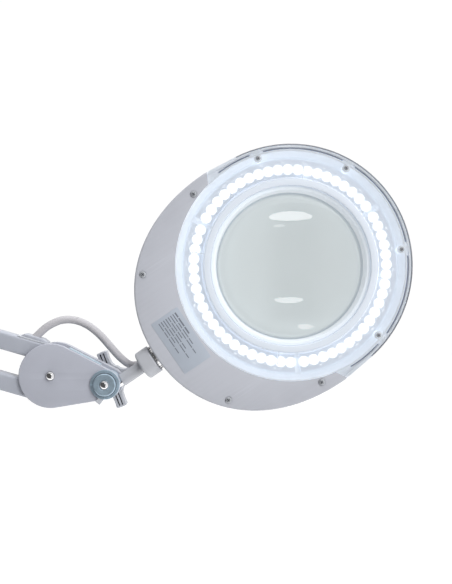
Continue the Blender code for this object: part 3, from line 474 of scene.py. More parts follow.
def skin(outline, rings, holes=(), hole_rings=None):
    """A solid between two flat caps: each outline climbs through its rings of (inset, height)."""
    points, faces = [], []
    caps = ([], [])
    walls = [(outline, rings, True)] + [(hole, hole_rings or rings, False) for hole in holes]
    for loop, wall, counterclockwise in walls:
        loop = loop if (area_of(loop) > 0) == counterclockwise else loop[::-1]
        normals = loop_normals(loop)
        count = len(loop)
        starts = []
        for inset, height in wall:
            starts.append(len(points))
            points.extend((x - n.x * inset, y - n.y * inset, height) for (x, y), n in zip(loop, normals))
        for low, high in zip(starts, starts[1:]):
            for i in range(count):
                j = (i + 1) % count
                faces.append((low + i, low + j, high + j, high + i))
        for cap, start in zip(caps, (starts[0], starts[-1])):
            cap.append(range(start, start + count))
    for cap in caps:
        order = [index for ring in cap for index in ring]
        flat = [[Vector(points[index]) for index in ring] for ring in cap]
        faces.extend(tuple(order[corner] for corner in face) for face in tessellate_polygon(flat))
    return points, faces


def block(size, centre=(0.0, 0.0, 0.0), corner=0.0008, edge=0.0004):
    outline = rectangle(size[0], size[1], corner, centre[:2])
    return skin(outline, levels(centre[2] - size[2] / 2, centre[2] + size[2] / 2, edge, edge))


def lathe(profile, steps=ROUND):
    """A profile of (radius, height) turned about Z; it closes on itself unless it ends on the axis."""
    points, faces, rows = [], [], []
    for radius, height in profile:
        start = len(points)
        if radius < ON_AXIS:
            points.append((0.0, 0.0, height))
            rows.append([start] * steps)
        else:
            points.extend((x, y, height) for x, y in circle(radius, steps=steps))
            rows.append(list(range(start, start + steps)))
    open_ended = profile[0][0] < ON_AXIS and profile[-1][0] < ON_AXIS
    following = rows[1:] if open_ended else rows[1:] + rows[:1]
    for low, high in zip(rows, following):
        for i in range(steps):
            j = (i + 1) % steps
            face = tuple(dict.fromkeys((low[i], low[j], high[j], high[i])))
            if len(face) > 2:
                faces.append(face)
    return points, faces


def mirrored(half):
    """A profile from the far end to the near end of a pin, from its near half."""
    return [(radius, -height) for radius, height in half[::-1]] + half[1:]


def soft_profile(profile, radius, keep_ends=True, steps=3):
    """The profile with each inner corner rounded."""
    result = [profile[0]] if keep_ends else []
    triples = zip(profile, profile[1:], profile[2:]) if keep_ends else zip(
        profile[-1:] + profile[:-1], profile, profile[1:] + profile[:1])
    for before, corner, after in triples:
        corner = Vector(corner)
        back, ahead = Vector(before) - corner, Vector(after) - corner
        reach_back, reach_ahead = min(radius, 0.45 * back.length), min(radius, 0.45 * ahead.length)
        start, end = corner + reach_back * back.normalized(), corner + reach_ahead * ahead.normalized()
        for step in range(steps + 1):
            t = step / steps
            result.append(tuple((1 - t) ** 2 * start + 2 * t * (1 - t) * corner + t ** 2 * end))
    return result + [profile[-1]] if keep_ends else result


def smooth_route(points, spacing):
    """Points about one spacing apart on a smooth curve through the given points."""
    knots = [Vector(point) for point in points]
    knots = [2 * knots[0] - knots[1], *knots, 2 * knots[-1] - knots[-2]]
    route = []
    for before, start, end, after in zip(knots, knots[1:], knots[2:], knots[3:]):
        count = max(1, round((end - start).length / spacing))
        for step in range(count):
            t = step / count
            route.append(0.5 * (
                2 * start
                + (end - before) * t
                + (2 * before - 5 * start + 4 * end - after) * t ** 2
                + (3 * start - before - 3 * end + after) * t ** 3
            ))
    return route + [knots[-2]]


def sweep(route, radius, sides=16, caps=(True, True)):
    """A round tube along a route of points, without twist; radius is a number or one for each point."""
    route = [Vector(point) for point in route]
    radii = [radius] * len(route) if isinstance(radius, float) else radius
    tangents = [(route[min(i + 1, len(route) - 1)] - route[max(i - 1, 0)]).normalized()
                for i in range(len(route))]
    side = tangents[0].orthogonal().normalized()
    points, faces = [], []
    for centre, tangent, size in zip(route, tangents, radii):
        side = (side - side.dot(tangent) * tangent).normalized()
        other = tangent.cross(side)
        for i in range(sides):
            angle = 2 * math.pi * i / sides
            points.append(tuple(centre + size * (math.cos(angle) * side + math.sin(angle) * other)))
    for row in range(len(route) - 1):
        for i in range(sides):
            j = (i + 1) % sides
            low, high = row * sides, (row + 1) * sides
            faces.append((low + i, low + j, high + j, high + i))
    if caps[0]:
        faces.append(tuple(range(sides)))
    if caps[1]:
        last = (len(route) - 1) * sides
        faces.append(tuple(range(last, last + sides)))
    return points, faces


# Pieces

def mesh_of(name, parts, matrix=WORLD):
    """One mesh from ((shape, material), ...), with smooth faces and sharp creases."""
    mesh = bpy.data.meshes.new(name)
    points, faces = merged(*[part[0] for part in parts])
    mesh.from_pydata([tuple(matrix @ Vector(point)) for point in points], [], faces)
    materials = []
    indices = []
    for shape, material in parts:
        if material not in materials:
            materials.append(material)
        indices.extend([materials.index(material)] * len(shape[1]))
    for material in materials:
        mesh.materials.append(material)
    mesh.polygons.foreach_set("material_index", indices)
    form = bmesh.new()
    form.from_mesh(mesh)
    bmesh.ops.recalc_face_normals(form, faces=form.faces)
    form.to_mesh(mesh)
    form.free()
    return creased(mesh)


def creased(mesh):
    mesh.shade_smooth()
    mesh.set_sharp_from_angle(angle=CREASE)
    return mesh


def linked(name, data):
    obj = bpy.data.objects.new(name, data)
    bpy.context.scene.collection.objects.link(obj)
    return obj


def new_object(name, parts, matrix=WORLD):
    return linked(name, mesh_of(name, parts, matrix))


def piece(name, body, parts, matrix=WORLD, stands_for=()):
    return piece_from_mesh(name, mesh_of(name, parts, matrix), body, stands_for)


def carved(name, parts, cutters, matrix=WORLD):
    """A mesh of the parts with the cutter shapes removed."""
    body = new_object(name + "_body", parts)
    for number, cutter in enumerate(cutters):
        knife = new_object(f"{name}_knife_{number}", [cutter])
        modifier = body.modifiers.new("cut", "BOOLEAN")
        modifier.operation = "DIFFERENCE"
        modifier.object = knife
        modifier.material_mode = "TRANSFER"
    graph = bpy.context.evaluated_depsgraph_get()
    mesh = bpy.data.meshes.new_from_object(body.evaluated_get(graph))
    mesh.name = name
    for obj in [body, *[m.object for m in body.modifiers]]:
        bpy.data.objects.remove(obj)
    mesh.transform(matrix)
    return creased(mesh)


def piece_from_mesh(name, mesh, body, stands_for=()):
    obj = linked(name, mesh)
    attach(obj, body)
    if stands_for:
        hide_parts(*stands_for)
    return obj


# Camera

def make_camera():
    data = bpy.data.cameras.new("camera")
    data.lens = CAMERA_LENS
    data.sensor_width = CAMERA_SENSOR
    camera = linked("camera", data)
    camera.location = (tilt_centre.x + CAMERA_RIGHT, -CAMERA_DISTANCE, tilt_centre.y + CAMERA_UP)
    camera.rotation_euler = (math.radians(90), 0.0, 0.0)
    bpy.context.scene.camera = camera


# Cords

def coil_route():
    """The lead's turns, clockwise from the side it arrives on; each ends by easing to the next column."""
    route = []
    per_turn = 16
    ease_from = 0.80
    turns = len(COIL_COLUMNS) - 0.5
    for step in range(int(turns * per_turn) + 1):
        number, part_turn = divmod(step / per_turn, 1.0)
        here = COIL_COLUMNS[int(number)]
        following = COIL_COLUMNS[min(int(number) + 1, len(COIL_COLUMNS) - 1)]
        t = max(0.0, (part_turn - ease_from) / (1 - ease_from))
        t = t * t * (3 - 2 * t)
        radius, height = [(1 - t) * a + t * b for a, b in zip(here, following)]
        angle = math.pi / 2 - 2 * math.pi * step / per_turn
        route.append((COIL_CENTRE[0] + radius * math.cos(angle),
                      COIL_CENTRE[1] + radius * math.sin(angle), height + 0.0001))
    return route


def lead_route():
    """The lead from the gland down to the table, round to the coil, and out to the plug."""
    lying = CORD_RADIUS + 0.0001
    coil = coil_route()
    x, side = coil[0][:2]
    steps, landing = 12, 7
    start = [(0, LEAD_START, LEAD_HEIGHT)]
    for step in range(steps):
        angle = math.pi / 2 * step / steps
        fall = (1 - math.cos(math.pi * min(1.0, step / landing))) / 2
        start.append((x * (1 - math.cos(angle)),
                      LEAD_BEND_START + (side - LEAD_BEND_START) * math.sin(angle),
                      LEAD_HEIGHT + (lying - LEAD_HEIGHT) * fall))
    leaving = coil[-1][1]
    end = [(COIL_CENTRE[0] - 0.012, leaving, 0.0122), (COIL_CENTRE[0] - PLUG_OFFSET, leaving, PLUG_HEIGHT)]
    return smooth_route([*start, *coil, *end], 0.02)


def mains_lead():
    route = lead_route()
    curve = bpy.data.curves.new("mains_lead_flex", "CURVE")
    curve.dimensions = "3D"
    curve.bevel_depth = CORD_RADIUS
    curve.bevel_resolution = 3
    curve.use_fill_caps = True
    spline = curve.splines.new("POLY")
    spline.points.add(len(route) - 1)
    for point, place in zip(spline.points, route):
        point.co = (*place, 1.0)
    curve.materials.append(cord_pvc)
    lead = linked("mains_lead_flex", curve)
    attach(lead, "clamp")
    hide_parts("mains_lead", "mains_coil")
    gland = make_gland()
    plug = make_plug()
    tie = coil_tie()


def make_gland():
    profile = [(0.0, 0.008), (0.0043, 0.008), (0.0043, 0.0155), (0.0066, 0.0155), (0.0066, 0.0190)]
    height = 0.0190
    while height < 0.0435:
        body = 0.0064 - (height - 0.0190) * 0.075
        profile += [(body, height + 0.0004), (body - 0.0002, height + 0.0022),
                    (body - 0.0009, height + 0.0025), (body - 0.0009, height + 0.0033)]
        height += 0.0036
    profile += [(0.0042, 0.0450), (0.0, 0.0450)]
    shape = lathe(soft_profile(profile, 0.0002), SMALL)
    frame_at = shift(0, 0, LEAD_HEIGHT) @ turn(-90, "X")
    return piece("cord_gland_boot", "clamp", [(shape, black_rubber)], frame_at,
                 ["cord_gland"])


def make_plug():
    tail = [(0.0, 0.0), (0.0043, 0.0002)]
    for ring in range(5):
        start = 0.0008 + ring * 0.0036
        radius = 0.0046 + ring * 0.00028
        tail += [(radius, start), (radius, start + 0.0021), (radius - 0.0009, start + 0.0024),
                 (radius - 0.0009, start + 0.0033)]
    tail += [(0.0058, 0.0190), (0.0058, 0.0200), (0.0, 0.0200)]
    grip = skin(rectangle(0.0145, 0.0140, 0.0035), levels(0.0185, 0.0485, 0.0015, 0.0008))
    ribs = [block((0.0002 + 0.0145, 0.0050, 0.0011), (0, 0, 0.0245 + 0.0034 * i), 0.0004, 0.0002)
            for i in range(6)]
    pin = [(0.0, 0.047), (0.0020, 0.047), (0.0020, 0.0660), (0.0013, 0.0673), (0.0, 0.0675)]
    sleeve = [(0.0, 0.047), (0.00215, 0.047), (0.00215, 0.0565), (0.0, 0.0565)]
    parts = [(lathe(soft_profile(tail, 0.0002), SMALL), black_plastic), (grip, black_plastic)]
    parts += [(rib, black_plastic) for rib in ribs]
    for x in (-0.005, 0.005):
        parts.append((moved(lathe(pin, SMALL), shift(x)), chrome))
        parts.append((moved(lathe(sleeve, SMALL), shift(x)), black_plastic))
    end = (COIL_CENTRE[0] - PLUG_OFFSET, COIL_CENTRE[1] - COIL_COLUMNS[-1][0], PLUG_HEIGHT)
    return piece("mains_plug_body", "clamp", parts,
                 shift(*end) @ turn(-90) @ turn(90, "X"), ["mains_plug"])


def coil_tie():
    """A flat strap round the bundle of turns, at the side of the coil away from the clamp."""
    inside, outside = 0.0252, 0.0453
    middle = (inside + outside) / 2
    loop = rectangle(outside - inside + 0.0006, 0.0186, 0.003, (middle, 0.0090))
    hole = rectangle(outside - inside - 0.0004, 0.0176, 0.0025, (middle, 0.0090))
    strap = skin(loop, levels(-0.0025, 0.0025, 0.0002, 0.0002), [hole])
    turned_up = Matrix(((1, 0, 0, 0), (0, 0, -1, 0), (0, 1, 0, 0), (0, 0, 0, 1)))
    frame_at = shift(*COIL_CENTRE) @ turn(-20) @ turned_up
    return piece("lead_tie", "clamp", [(strap, black_plastic)], frame_at)


def loop_cord(name, points, frame_at, *bends, split=1.0):
    """A loop of flex over one joint, or over two in two pieces that meet at split of its length.

    Each bend is (near body, far body, start, end), the last two as shares of its piece's length; these
    values are not used, only how many bends there are.
    """
    route = [frame_at @ point for point in smooth_route(points, CORD_SPACING)]
    middle = int(len(route) * split)
    lines = [route[:middle + 1], route[middle:]]
    for number, (line, (near_body, far_body, start, end)) in enumerate(zip(lines, bends), 1):
        ends = (number == 1, number == len(bends))
        obj = new_object(f"{name}_flex_{number}", [(sweep(line, CORD_RADIUS, 20, ends), cord_pvc)])
        if number == 1:
            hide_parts(name)
        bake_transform(obj)


def arm_cords():
    base = [(-0.0165, -0.0355, 0), (-0.024, -0.0345, 0), (-0.0365, -0.026, 0), (-0.042, -0.010, 0),
            (-0.0395, 0.010, 0), (-0.0310, 0.029, 0), (-0.0205, 0.0430, 0), (-0.0090, 0.0530, 0)]
    loop_cord("base_cord", base, BASE, ("base", "lower_arm", 0.12, 0.92))
    elbow = [(-0.0460, -0.0537, 0), (-0.0520, -0.0490, 0), (-0.0570, -0.0330, 0),
             (-0.0530, -0.0080, 0), (-0.0400, 0.0200, 0), (-0.0230, 0.0460, 0),
             (-0.0020, 0.0720, 0), (0.0250, 0.0880, 0), (0.0520, 0.0900, 0), (0.0730, 0.0810, 0),
             (0.0840, 0.0690, 0), (0.0870, 0.0573, 0)]
    loop_cord("elbow_cord", elbow, ELBOW, ("lower_arm", "elbow", 0.1, 0.9),
              ("elbow", "upper_arm", 0.1, 0.95), split=0.42)
    head = [(-0.0602, 0.0376, 0), (-0.0573, 0.0404, 0), (-0.0530, 0.0445, -0.0005),
            (-0.0477, 0.0484, -0.001), (-0.0396, 0.0520, -0.002), (-0.0314, 0.0528, -0.003),
            (-0.0232, 0.0511, -0.004), (-0.0150, 0.0468, -0.005), (-0.0067, 0.0398, -0.006),
            (0.0015, 0.0304, -0.007), (0.0090, 0.0218, -0.008), (0.0160, 0.0158, -0.0088),
            (0.0205, 0.0141, -0.0092), (0.0250, 0.0146, -0.0092)]
    loop_cord("head_cord", head, TILT_FIXED, ("upper_arm", "head_bracket", 0.1, 0.95),
              ("head_bracket", "stem", 0.05, 0.9), split=0.38)


# Brackets, bars and springs

def rivet(reach, head_radius=0.0038):
    """One half of a pin through two plates: a collar under a domed end."""
    collar, dome = PLATE_OUTER + 0.0003, PLATE_OUTER + 0.0009
    profile = [(0.0, PLATE_OUTER - 0.004), (ROD_RADIUS, PLATE_OUTER - 0.004), (ROD_RADIUS, collar),
               (head_radius, collar), (head_radius, dome)]
    for cosine, sine in quarter(8):
        profile.append((head_radius * 0.96 * cosine, dome + (reach - dome) * sine))
    profile[-1] = (0.0, reach)
    return lathe(profile, SMALL)


def hook_rod(name, body, matrix, node):
    """The cross pin at a bracket's middle, which both springs hook on."""
    piece(name, body, [(spring_rod(0.0038, 0.0109, 0.0122), zinc)], matrix, [node])


def spring_rod(collar, collar_start, collar_end):
    """A pin with a collar on each side of the middle, and two button ends."""
    half = [(ROD_RADIUS, 0.0), (ROD_RADIUS, collar_start), (collar, collar_start),
            (collar, collar_end), (ROD_RADIUS, collar_end), (ROD_RADIUS, 0.0173),
            (0.0030, 0.0173), (0.0030, 0.0181), (0.0022, 0.0185), (0.0, 0.0186)]
    return lathe(soft_profile(mirrored(half), 0.0002), SMALL)


def plate(outline, side, holes=(), thickness=(PLATE_INNER, PLATE_OUTER)):
    """A pressed plate on one side of the arm; its outer edge has the larger round."""
    rings = levels(*thickness, 0.0002, 0.0009)
    shape = skin(outline, rings, holes, levels(*thickness, 0.0, 0.0003))
    return shape if side > 0 else moved(shape, Matrix.Diagonal((1, 1, -1, 1)))


def stud(centre):
    profile = [(0.0, -PLATE_INNER - 0.001), (0.003, -PLATE_INNER - 0.001), (0.003, PLATE_INNER - 0.0008),
               (0.0026, PLATE_INNER - 0.0003), (0.0, PLATE_INNER - 0.0003)]
    return moved(lathe(profile, SMALL), shift(*centre))


def bracket_pair(name, body, matrix, outline, studs, holes_near=(), holes_far=(), more_far=()):
    """A bracket's two plates, the far one with its pivot studs."""
    piece(f"{name}_near_panel", body, [(plate(outline, 1, holes_near), grey_paint)],
          matrix, [f"{name}_near"])
    parts = [(plate(outline, -1, holes_far), grey_paint)] + [(stud(centre), zinc) for centre in studs]
    parts += [(shape, grey_paint) for shape in more_far]
    piece(f"{name}_far_panel", body, parts, matrix, [f"{name}_far"])


def bar(name, body, matrix):
    outline = rectangle(BAR_HEIGHT, BAR_WIDTH, 0.0026)
    inside = rectangle(BAR_HEIGHT - 2 * BAR_WALL, BAR_WIDTH - 2 * BAR_WALL, 0.0008)
    rings = levels(-BAR_OVERHANG, ARM_LENGTH + BAR_OVERHANG, 0.0003, 0.0003)
    tube = moved(skin(outline, rings, [inside], levels(rings[0][1], rings[-1][1])), ALONG_X)
    bush = [(0.0031, -0.0078), (0.0044, -0.0078), (0.0044, 0.0078), (0.0031, 0.0078)]
    bushes = [moved(lathe(bush, SMALL), shift(x)) for x in (0.0, ARM_LENGTH)]
    piece(f"{name}_tube", body,
          [(tube, bar_paint)] + [(shape, nylon) for shape in bushes], matrix, [name])


def spring_pin(name, body, matrix):
    piece(f"{name}_turned", body, [(spring_rod(0.0032, 0.0078, 0.0095), zinc)],
          matrix @ shift(SPRING_PIN_PLACE), [name])


def spring(name, matrix, start, end, side):
    """A wound tension spring with a loop at each end."""
    turn_radius = SPRING_RADIUS - SPRING_WIRE
    start, end = Vector((*start, 0)), Vector((*end, 0))
    length = (end - start).length
    angle = math.degrees(math.atan2(end.y - start.y, end.x - start.x))
    first, last = SPRING_END, length - SPRING_END
    count = int((last - first) / SPRING_PITCH)
    loop = [(SPRING_HOOK * math.cos(math.radians(a)), SPRING_HOOK * math.sin(math.radians(a)), 0.0)
            for a in range(40, 341, 20)]
    coil = []
    for step in range(count * 12 + 1):
        swing = 2 * math.pi * step / 12
        grow = min(1.0, step / 10, (count * 12 - step) / 10)
        radius = turn_radius * (0.35 + 0.65 * grow)
        coil.append((first + (last - first) * step / (count * 12), radius * math.cos(swing),
                     radius * math.sin(swing)))
    far_loop = [(length - x, -y, z) for x, y, z in loop[::-1]]
    path = loop + [(0.0060, -0.0004, 0.0)] + coil + [(length - 0.0060, 0.0004, 0.0)] + far_loop
    frame_at = matrix @ shift(start.x, start.y, side * SPRING_DEPTH) @ turn(angle)
    shape = sweep([frame_at @ Vector(point) for point in path], SPRING_WIRE, 6)
    obj = new_object(name + "_coil", [(shape, spring_steel)])
    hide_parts(name)
    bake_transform(obj)


def base_bracket():
    outline = hull([((0, 0), 0.027), ((-0.010, -0.033), 0.006), ((0.010, -0.033), 0.006)])
    hole = circle(ROD_HOLE)
    near = plate(outline, 1, [hole], (PLATE_INNER + 0.0005, PLATE_OUTER + 0.0001))
    piece("base_plate_near_panel", "base", [(near, grey_paint)], BASE,
          ["base_plate_near"])
    upright = BASE @ turn(-90, "X")
    foot = block((0.032, 0.0169, 0.010), (0, 0.0001, -0.035), 0.002, 0.0006)
    disc = lathe(soft_profile([(0.0, -0.0475), (0.013, -0.0475), (0.013, -0.0393), (0.0, -0.0393)],
                              0.0006), ROUND)
    spigot = lathe([(0.0, -0.086), (0.0052, -0.086), (0.006, -0.0852), (0.006, -0.040), (0.0, -0.040)],
                   SMALL)
    eyelet = lathe([(0.0034, 0.0150), (0.0056, 0.0150), (0.0056, 0.0168), (0.0034, 0.0168)], SMALL)
    parts = [(moved(plate(outline, -1, [hole]), turn(90, "X")), grey_paint), (foot, grey_paint),
             (disc, grey_paint), (spigot, zinc),
             (moved(eyelet, shift(0, 0, -0.0355) @ turn(-90, "Y")), black_rubber)]
    parts += [(moved(stud((x, 0)), turn(90, "X")), zinc) for x in (-LOWER_HALF, LOWER_HALF)]
    piece("base_yoke_casting", "base", parts, upright, ["base_yoke"])
    hook_rod("base_rod_turned", "base", BASE, "base_rod")


def arm():
    base_bracket()
    bar("lower_bar", "lower_arm", LOWER_BAR)
    bar("lower_tie_bar", "lower_tie", LOWER_TIE)
    spring_pin("lower_spring_pin", "lower_tie", LOWER_TIE)
    lean = math.radians(LOWER_LEAN)
    anchor = (-LOWER_HALF * math.sin(lean), LOWER_HALF * math.cos(lean))
    for side, label in ((1, "near"), (-1, "far")):
        spring(f"lower_spring_{label}", LOWER_TIE, anchor, (SPRING_PIN_PLACE, 0), side)
    upper = ELBOW_REACH * direction(ELBOW_RISE)
    outline = hull([((0, 0), PLATE_RADIUS), (tuple(upper), PLATE_RADIUS)])
    hole = circle(ROD_HOLE, tuple(upper))
    studs = [(-LOWER_HALF, 0.0), (LOWER_HALF, 0.0), (upper.x, upper.y + UPPER_HALF),
             (upper.x, upper.y - UPPER_HALF)]
    bracket_pair("elbow_plate", "elbow", ELBOW, outline, studs, [hole], [hole])
    hook_rod("elbow_rod_turned", "elbow", plane(*elbow_high), "elbow_rod")
    cord_clip()
    bar("upper_bar", "upper_arm", UPPER_BAR)
    bar("upper_tie_bar", "upper_tie", UPPER_TIE)
    spring_pin("upper_spring_pin", "upper_tie", UPPER_TIE)
    slope = math.radians(UPPER_SLOPE)
    anchor = (UPPER_HALF * math.sin(slope), UPPER_HALF * math.cos(slope))
    for side, label in ((1, "near"), (-1, "far")):
        spring(f"upper_spring_{label}", UPPER_TIE, anchor, (SPRING_PIN_PLACE, 0), side)
    outlet_cap()


def cord_clip():
    """The block between the elbow plates whose open end holds the cord."""
    start, end, place = 0.0195, 0.0490, 0.025
    body = block((0.010, end - start, 0.0158), (place, (start + end) / 2, 0), 0.0022, 0.0009)
    rib = block((0.0106, 0.0016, 0.0120), (place, 0.0325, 0), 0.0004, 0.0003)
    hole = lathe([(0.0, -0.03), (0.0035, -0.03), (0.0035, 0.03), (0.0, 0.03)], SMALL)
    hole = moved(hole, shift(place, 0.0431, 0) @ turn(-3.2) @ turn(90, "Y"))
    mesh = carved("elbow_cord_clip_block", [(merged(body, rib), joint_plastic)],
                  [(hole, joint_plastic)], ELBOW @ turn(ELBOW_RISE))
    piece_from_mesh("elbow_cord_clip_block", mesh, "elbow", ["elbow_cord_clip"])


def outlet_cap():
    """The low hood on the upper bar that the cord comes out of."""
    top = BAR_HEIGHT / 2
    outline = soft_corners([(-0.0302, top - 0.0005), (-0.0060, top - 0.0005), (-0.0060, top + 0.0016),
                            (-0.0110, top + 0.0034), (-0.0262, top + 0.0034)], 0.0012)
    hood = skin(outline, levels(-0.0066, 0.0066, 0.0012, 0.0012))
    base = block((0.0266, 0.0012, 0.0142), (-0.0180, top + 0.0001, 0), 0.0003, 0.0003)
    piece("cord_outlet_hood", "upper_arm",
          [(hood, bar_paint), (base, joint_plastic)], UPPER_BAR @ shift(ARM_LENGTH), ["cord_outlet_cap"])


# Head bracket, tilt joint and stem

def head_bracket():
    tip = (TILT_REACH, TILT_DROP)
    outline = hull([((0, 0), PLATE_RADIUS), (tip, TILT_TIP_RADIUS)], FINE)
    holes = [circle(ROD_HOLE), circle(BOLT_HOLE, tip)]
    studs = [(0.0, UPPER_HALF), (0.0, -UPPER_HALF)]
    inner = hull([((0, 0), PLATE_RADIUS - 0.0016), (tip, TILT_TIP_RADIUS - 0.0016)], FINE)
    flange = skin(outline, levels(-FLANGE_DEPTH, -PLATE_OUTER + 0.0002, 0.0006, 0.0), [inner],
                  levels(-FLANGE_DEPTH, -PLATE_OUTER + 0.0002))
    bracket_pair("head_plate", "head_bracket", BRACKET, outline, studs, holes, holes, [flange])
    lean = math.atan2(TILT_DROP, TILT_REACH)
    reach = math.hypot(TILT_REACH, TILT_DROP)
    normal = lean + math.pi / 2 - math.asin((PLATE_RADIUS - TILT_TIP_RADIUS) / reach)
    web = block((WEB_LENGTH, 0.0006, 0.0085), (WEB_START + WEB_LENGTH / 2, PLATE_RADIUS - 0.0005, 0),
                0.0002, 0.0002)
    piece("head_bracket_web", "head_bracket", [(moved(web, turn(math.degrees(normal) - 90)), zinc)],
          BRACKET)
    spindle = lathe([(0.0, -0.0112), (0.002, -0.0112), (0.002, 0.0112), (0.0, 0.0112)], SMALL)
    far_dome = moved(rivet(0.0135), Matrix.Diagonal((1, 1, -1, 1)))
    piece("head_bracket_rivet", "head_bracket",
          [(merged(spindle, rivet(0.0138), far_dome), chrome)], BRACKET, ["head_bracket_rod"])


def tilt_joint():
    washer_bottom = PLATE_OUTER + 0.0003
    washer = soft_profile([(BOLT_HOLE, washer_bottom), (WASHER_RADIUS, washer_bottom),
                           (WASHER_RADIUS, WASHER_TOP), (BOLT_HOLE, WASHER_TOP)], 0.0004,
                          keep_ends=False)
    tab = moved(block((0.0046, 0.0056, 0.0013), (0, 0, 0.0115), 0.0006, 0.0003),
                shift(-0.0044, -0.0130) @ turn(-36))
    # Painted shadow: a dark ring on the washer just outside the raised bolt head.
    shadow = lathe([(0.0080, 0.0123), (0.0097, 0.0123), (0.0097, 0.01245), (0.0080, 0.01245)])
    parts = [(lathe(washer), zinc), (tab, joint_plastic), (shadow, painted_shade_dark)]
    piece("tilt_washer_disc", "head_bracket", parts, TILT_FIXED, ["tilt_washer"])

    raised = [(0.0, 0.0127), (0.0084, 0.0127), (0.0092, 0.0136), (0.0092, 0.0149),
              (0.0086, 0.0156), (0.0048, 0.0156), (0.0045, 0.0153), (0.0041, 0.0153), (0.0, 0.0153)]
    shank = [(0.0, -0.0215), (0.0036, -0.0215), (0.0040, -0.0211), (0.0040, 0.0130), (0.0, 0.0130)]
    dome = [(0.0, 0.0152), (0.0037, 0.0152), (0.0037, 0.0158)]
    for cosine, sine in quarter(8):
        dome.append((0.0035 * cosine, 0.0158 + 0.0019 * sine))
    dome[-1] = (0.0, 0.0177)
    piece("tilt_bolt_turned", "head_bracket",
          [(lathe(soft_profile(raised, 0.0002)), zinc), (lathe(shank, SMALL), zinc),
           (lathe(dome, SMALL), chrome)], TILT_FIXED, ["tilt_bolt"])
    knob()


def knob():
    """A four-lobed hand knob on a long neck, with a pair of narrow slots in each lobe."""
    quarter = [(0.0250, -0.0046), (0.0255, 0.0), (0.0250, 0.0046), (0.0190, 0.0043), (0.0140, 0.0046),
               (0.0105, 0.0064), (0.0088, 0.0088), (0.0064, 0.0105), (0.0046, 0.0140), (0.0043, 0.0190)]
    outline = []
    for quadrant in range(4):
        spin = Matrix.Rotation(math.radians(90 * quadrant), 2)
        outline.extend(tuple(spin @ Vector(point)) for point in quarter)
    outline = soft_corners(outline, 0.0012, 3)
    lobes = skin(outline, levels(KNOB_BACK + 0.0002, KNOB_FRONT, 0.0012, 0.0009))
    # Painted shade: the slot walls take the cutters' near-black material.
    knives = []
    for quadrant in range(4):
        for offset in (-0.0014, 0.0014):
            slot = block((0.0125, 0.0010, 0.006), (0.0175, offset, KNOB_FRONT), 0.0004, 0.0)
            knives.append((moved(slot, turn(90 * quadrant)), painted_shade_dark))
    mesh = carved("tilt_knob_moulding", [(lobes, joint_plastic)], knives, TILT_FIXED @ turn(KNOB_TURN))
    piece_from_mesh("tilt_knob_moulding", mesh, "tilt_knob", ["tilt_knob"])
    bore = lathe([(0.0, -0.0218), (0.0044, -0.0218), (0.0044, 0.0), (0.0, 0.0)], SMALL)
    neck = lathe(soft_profile([(0.0, KNOB_BACK), (0.0100, KNOB_BACK), (0.0100, KNOB_FRONT - 0.002),
                               (0.0093, KNOB_FRONT), (0.0088, -PLATE_OUTER - 0.003),
                               (0.0096, -PLATE_OUTER - 0.0020), (0.0096, -PLATE_OUTER - 0.0006),
                               (0.0, -PLATE_OUTER - 0.0006)], 0.0006))
    # Painted shade: the bore's inside takes the cutter's near-black material.
    mesh = carved("tilt_knob_neck", [(neck, joint_plastic)], [(bore, painted_shade_dark)], TILT_FIXED)
    piece_from_mesh("tilt_knob_neck", mesh, "tilt_knob")


def stem():
    eye = soft_profile([(0.0044, -0.0078), (0.011, -0.0078), (0.011, 0.0078), (0.0044, 0.0078)],
                       0.0006, keep_ends=False)
    shaft = lathe(soft_profile([(0.0, 0.0060), (SHAFT_RADIUS, 0.0060), (SHAFT_RADIUS, 0.0687),
                                (0.0, 0.0687)], 0.0004), SMALL)
    lengthwise = shift(0, -STEM_OFFSET, 0) @ ALONG_X
    piece("tilt_eye_turned", "stem",
          [(lathe(eye), zinc), (moved(shaft, lengthwise), chrome)], TILT, ["tilt_eye"])

    place = HEAD_DISTANCE
    bore = SHAFT_RADIUS + 0.0003
    tube = [(bore, STEM_START), (STEM_RADIUS - 0.0006, STEM_START),
            (STEM_RADIUS, STEM_START + 0.0006), (STEM_RADIUS, COLLAR_START - 0.0004),
            (0.0062, COLLAR_START), (COLLAR_RADIUS - 0.0014, COLLAR_START),
            (COLLAR_RADIUS - 0.0003, COLLAR_START + 0.0008), (COLLAR_RADIUS, COLLAR_START + 0.0020),
            (COLLAR_RADIUS, COLLAR_END - 0.0005), (COLLAR_RADIUS - 0.0004, COLLAR_END),
            (bore, COLLAR_END)]
    tube = [(radius, x + place) for radius, x in tube]
    piece("head_stem_tube", "stem",
          [(moved(lathe(soft_profile(tube, 0.0005, keep_ends=False)), lengthwise), stem_paint)],
          TILT, ["head_stem"])

    outline = []
    teeth = 20
    for tooth in range(teeth):
        for share, radius in ((0.0, 0.0105), (0.30, 0.0105), (0.42, 0.0096), (0.88, 0.0096)):
            outline.append(polar(radius, 360 * (tooth + share) / teeth))
    low, high = place - 0.1359, place + TAIL_MIDDLE - TAIL_LENGTH - 0.0003
    disc = skin(outline, levels(low, high, 0.0002, 0.0002), [circle(SHAFT_RADIUS + 0.0003)])
    piece("swivel_disc_toothed", "stem", [(moved(disc, lengthwise), chrome)], TILT,
          ["swivel_disc"])


# Head

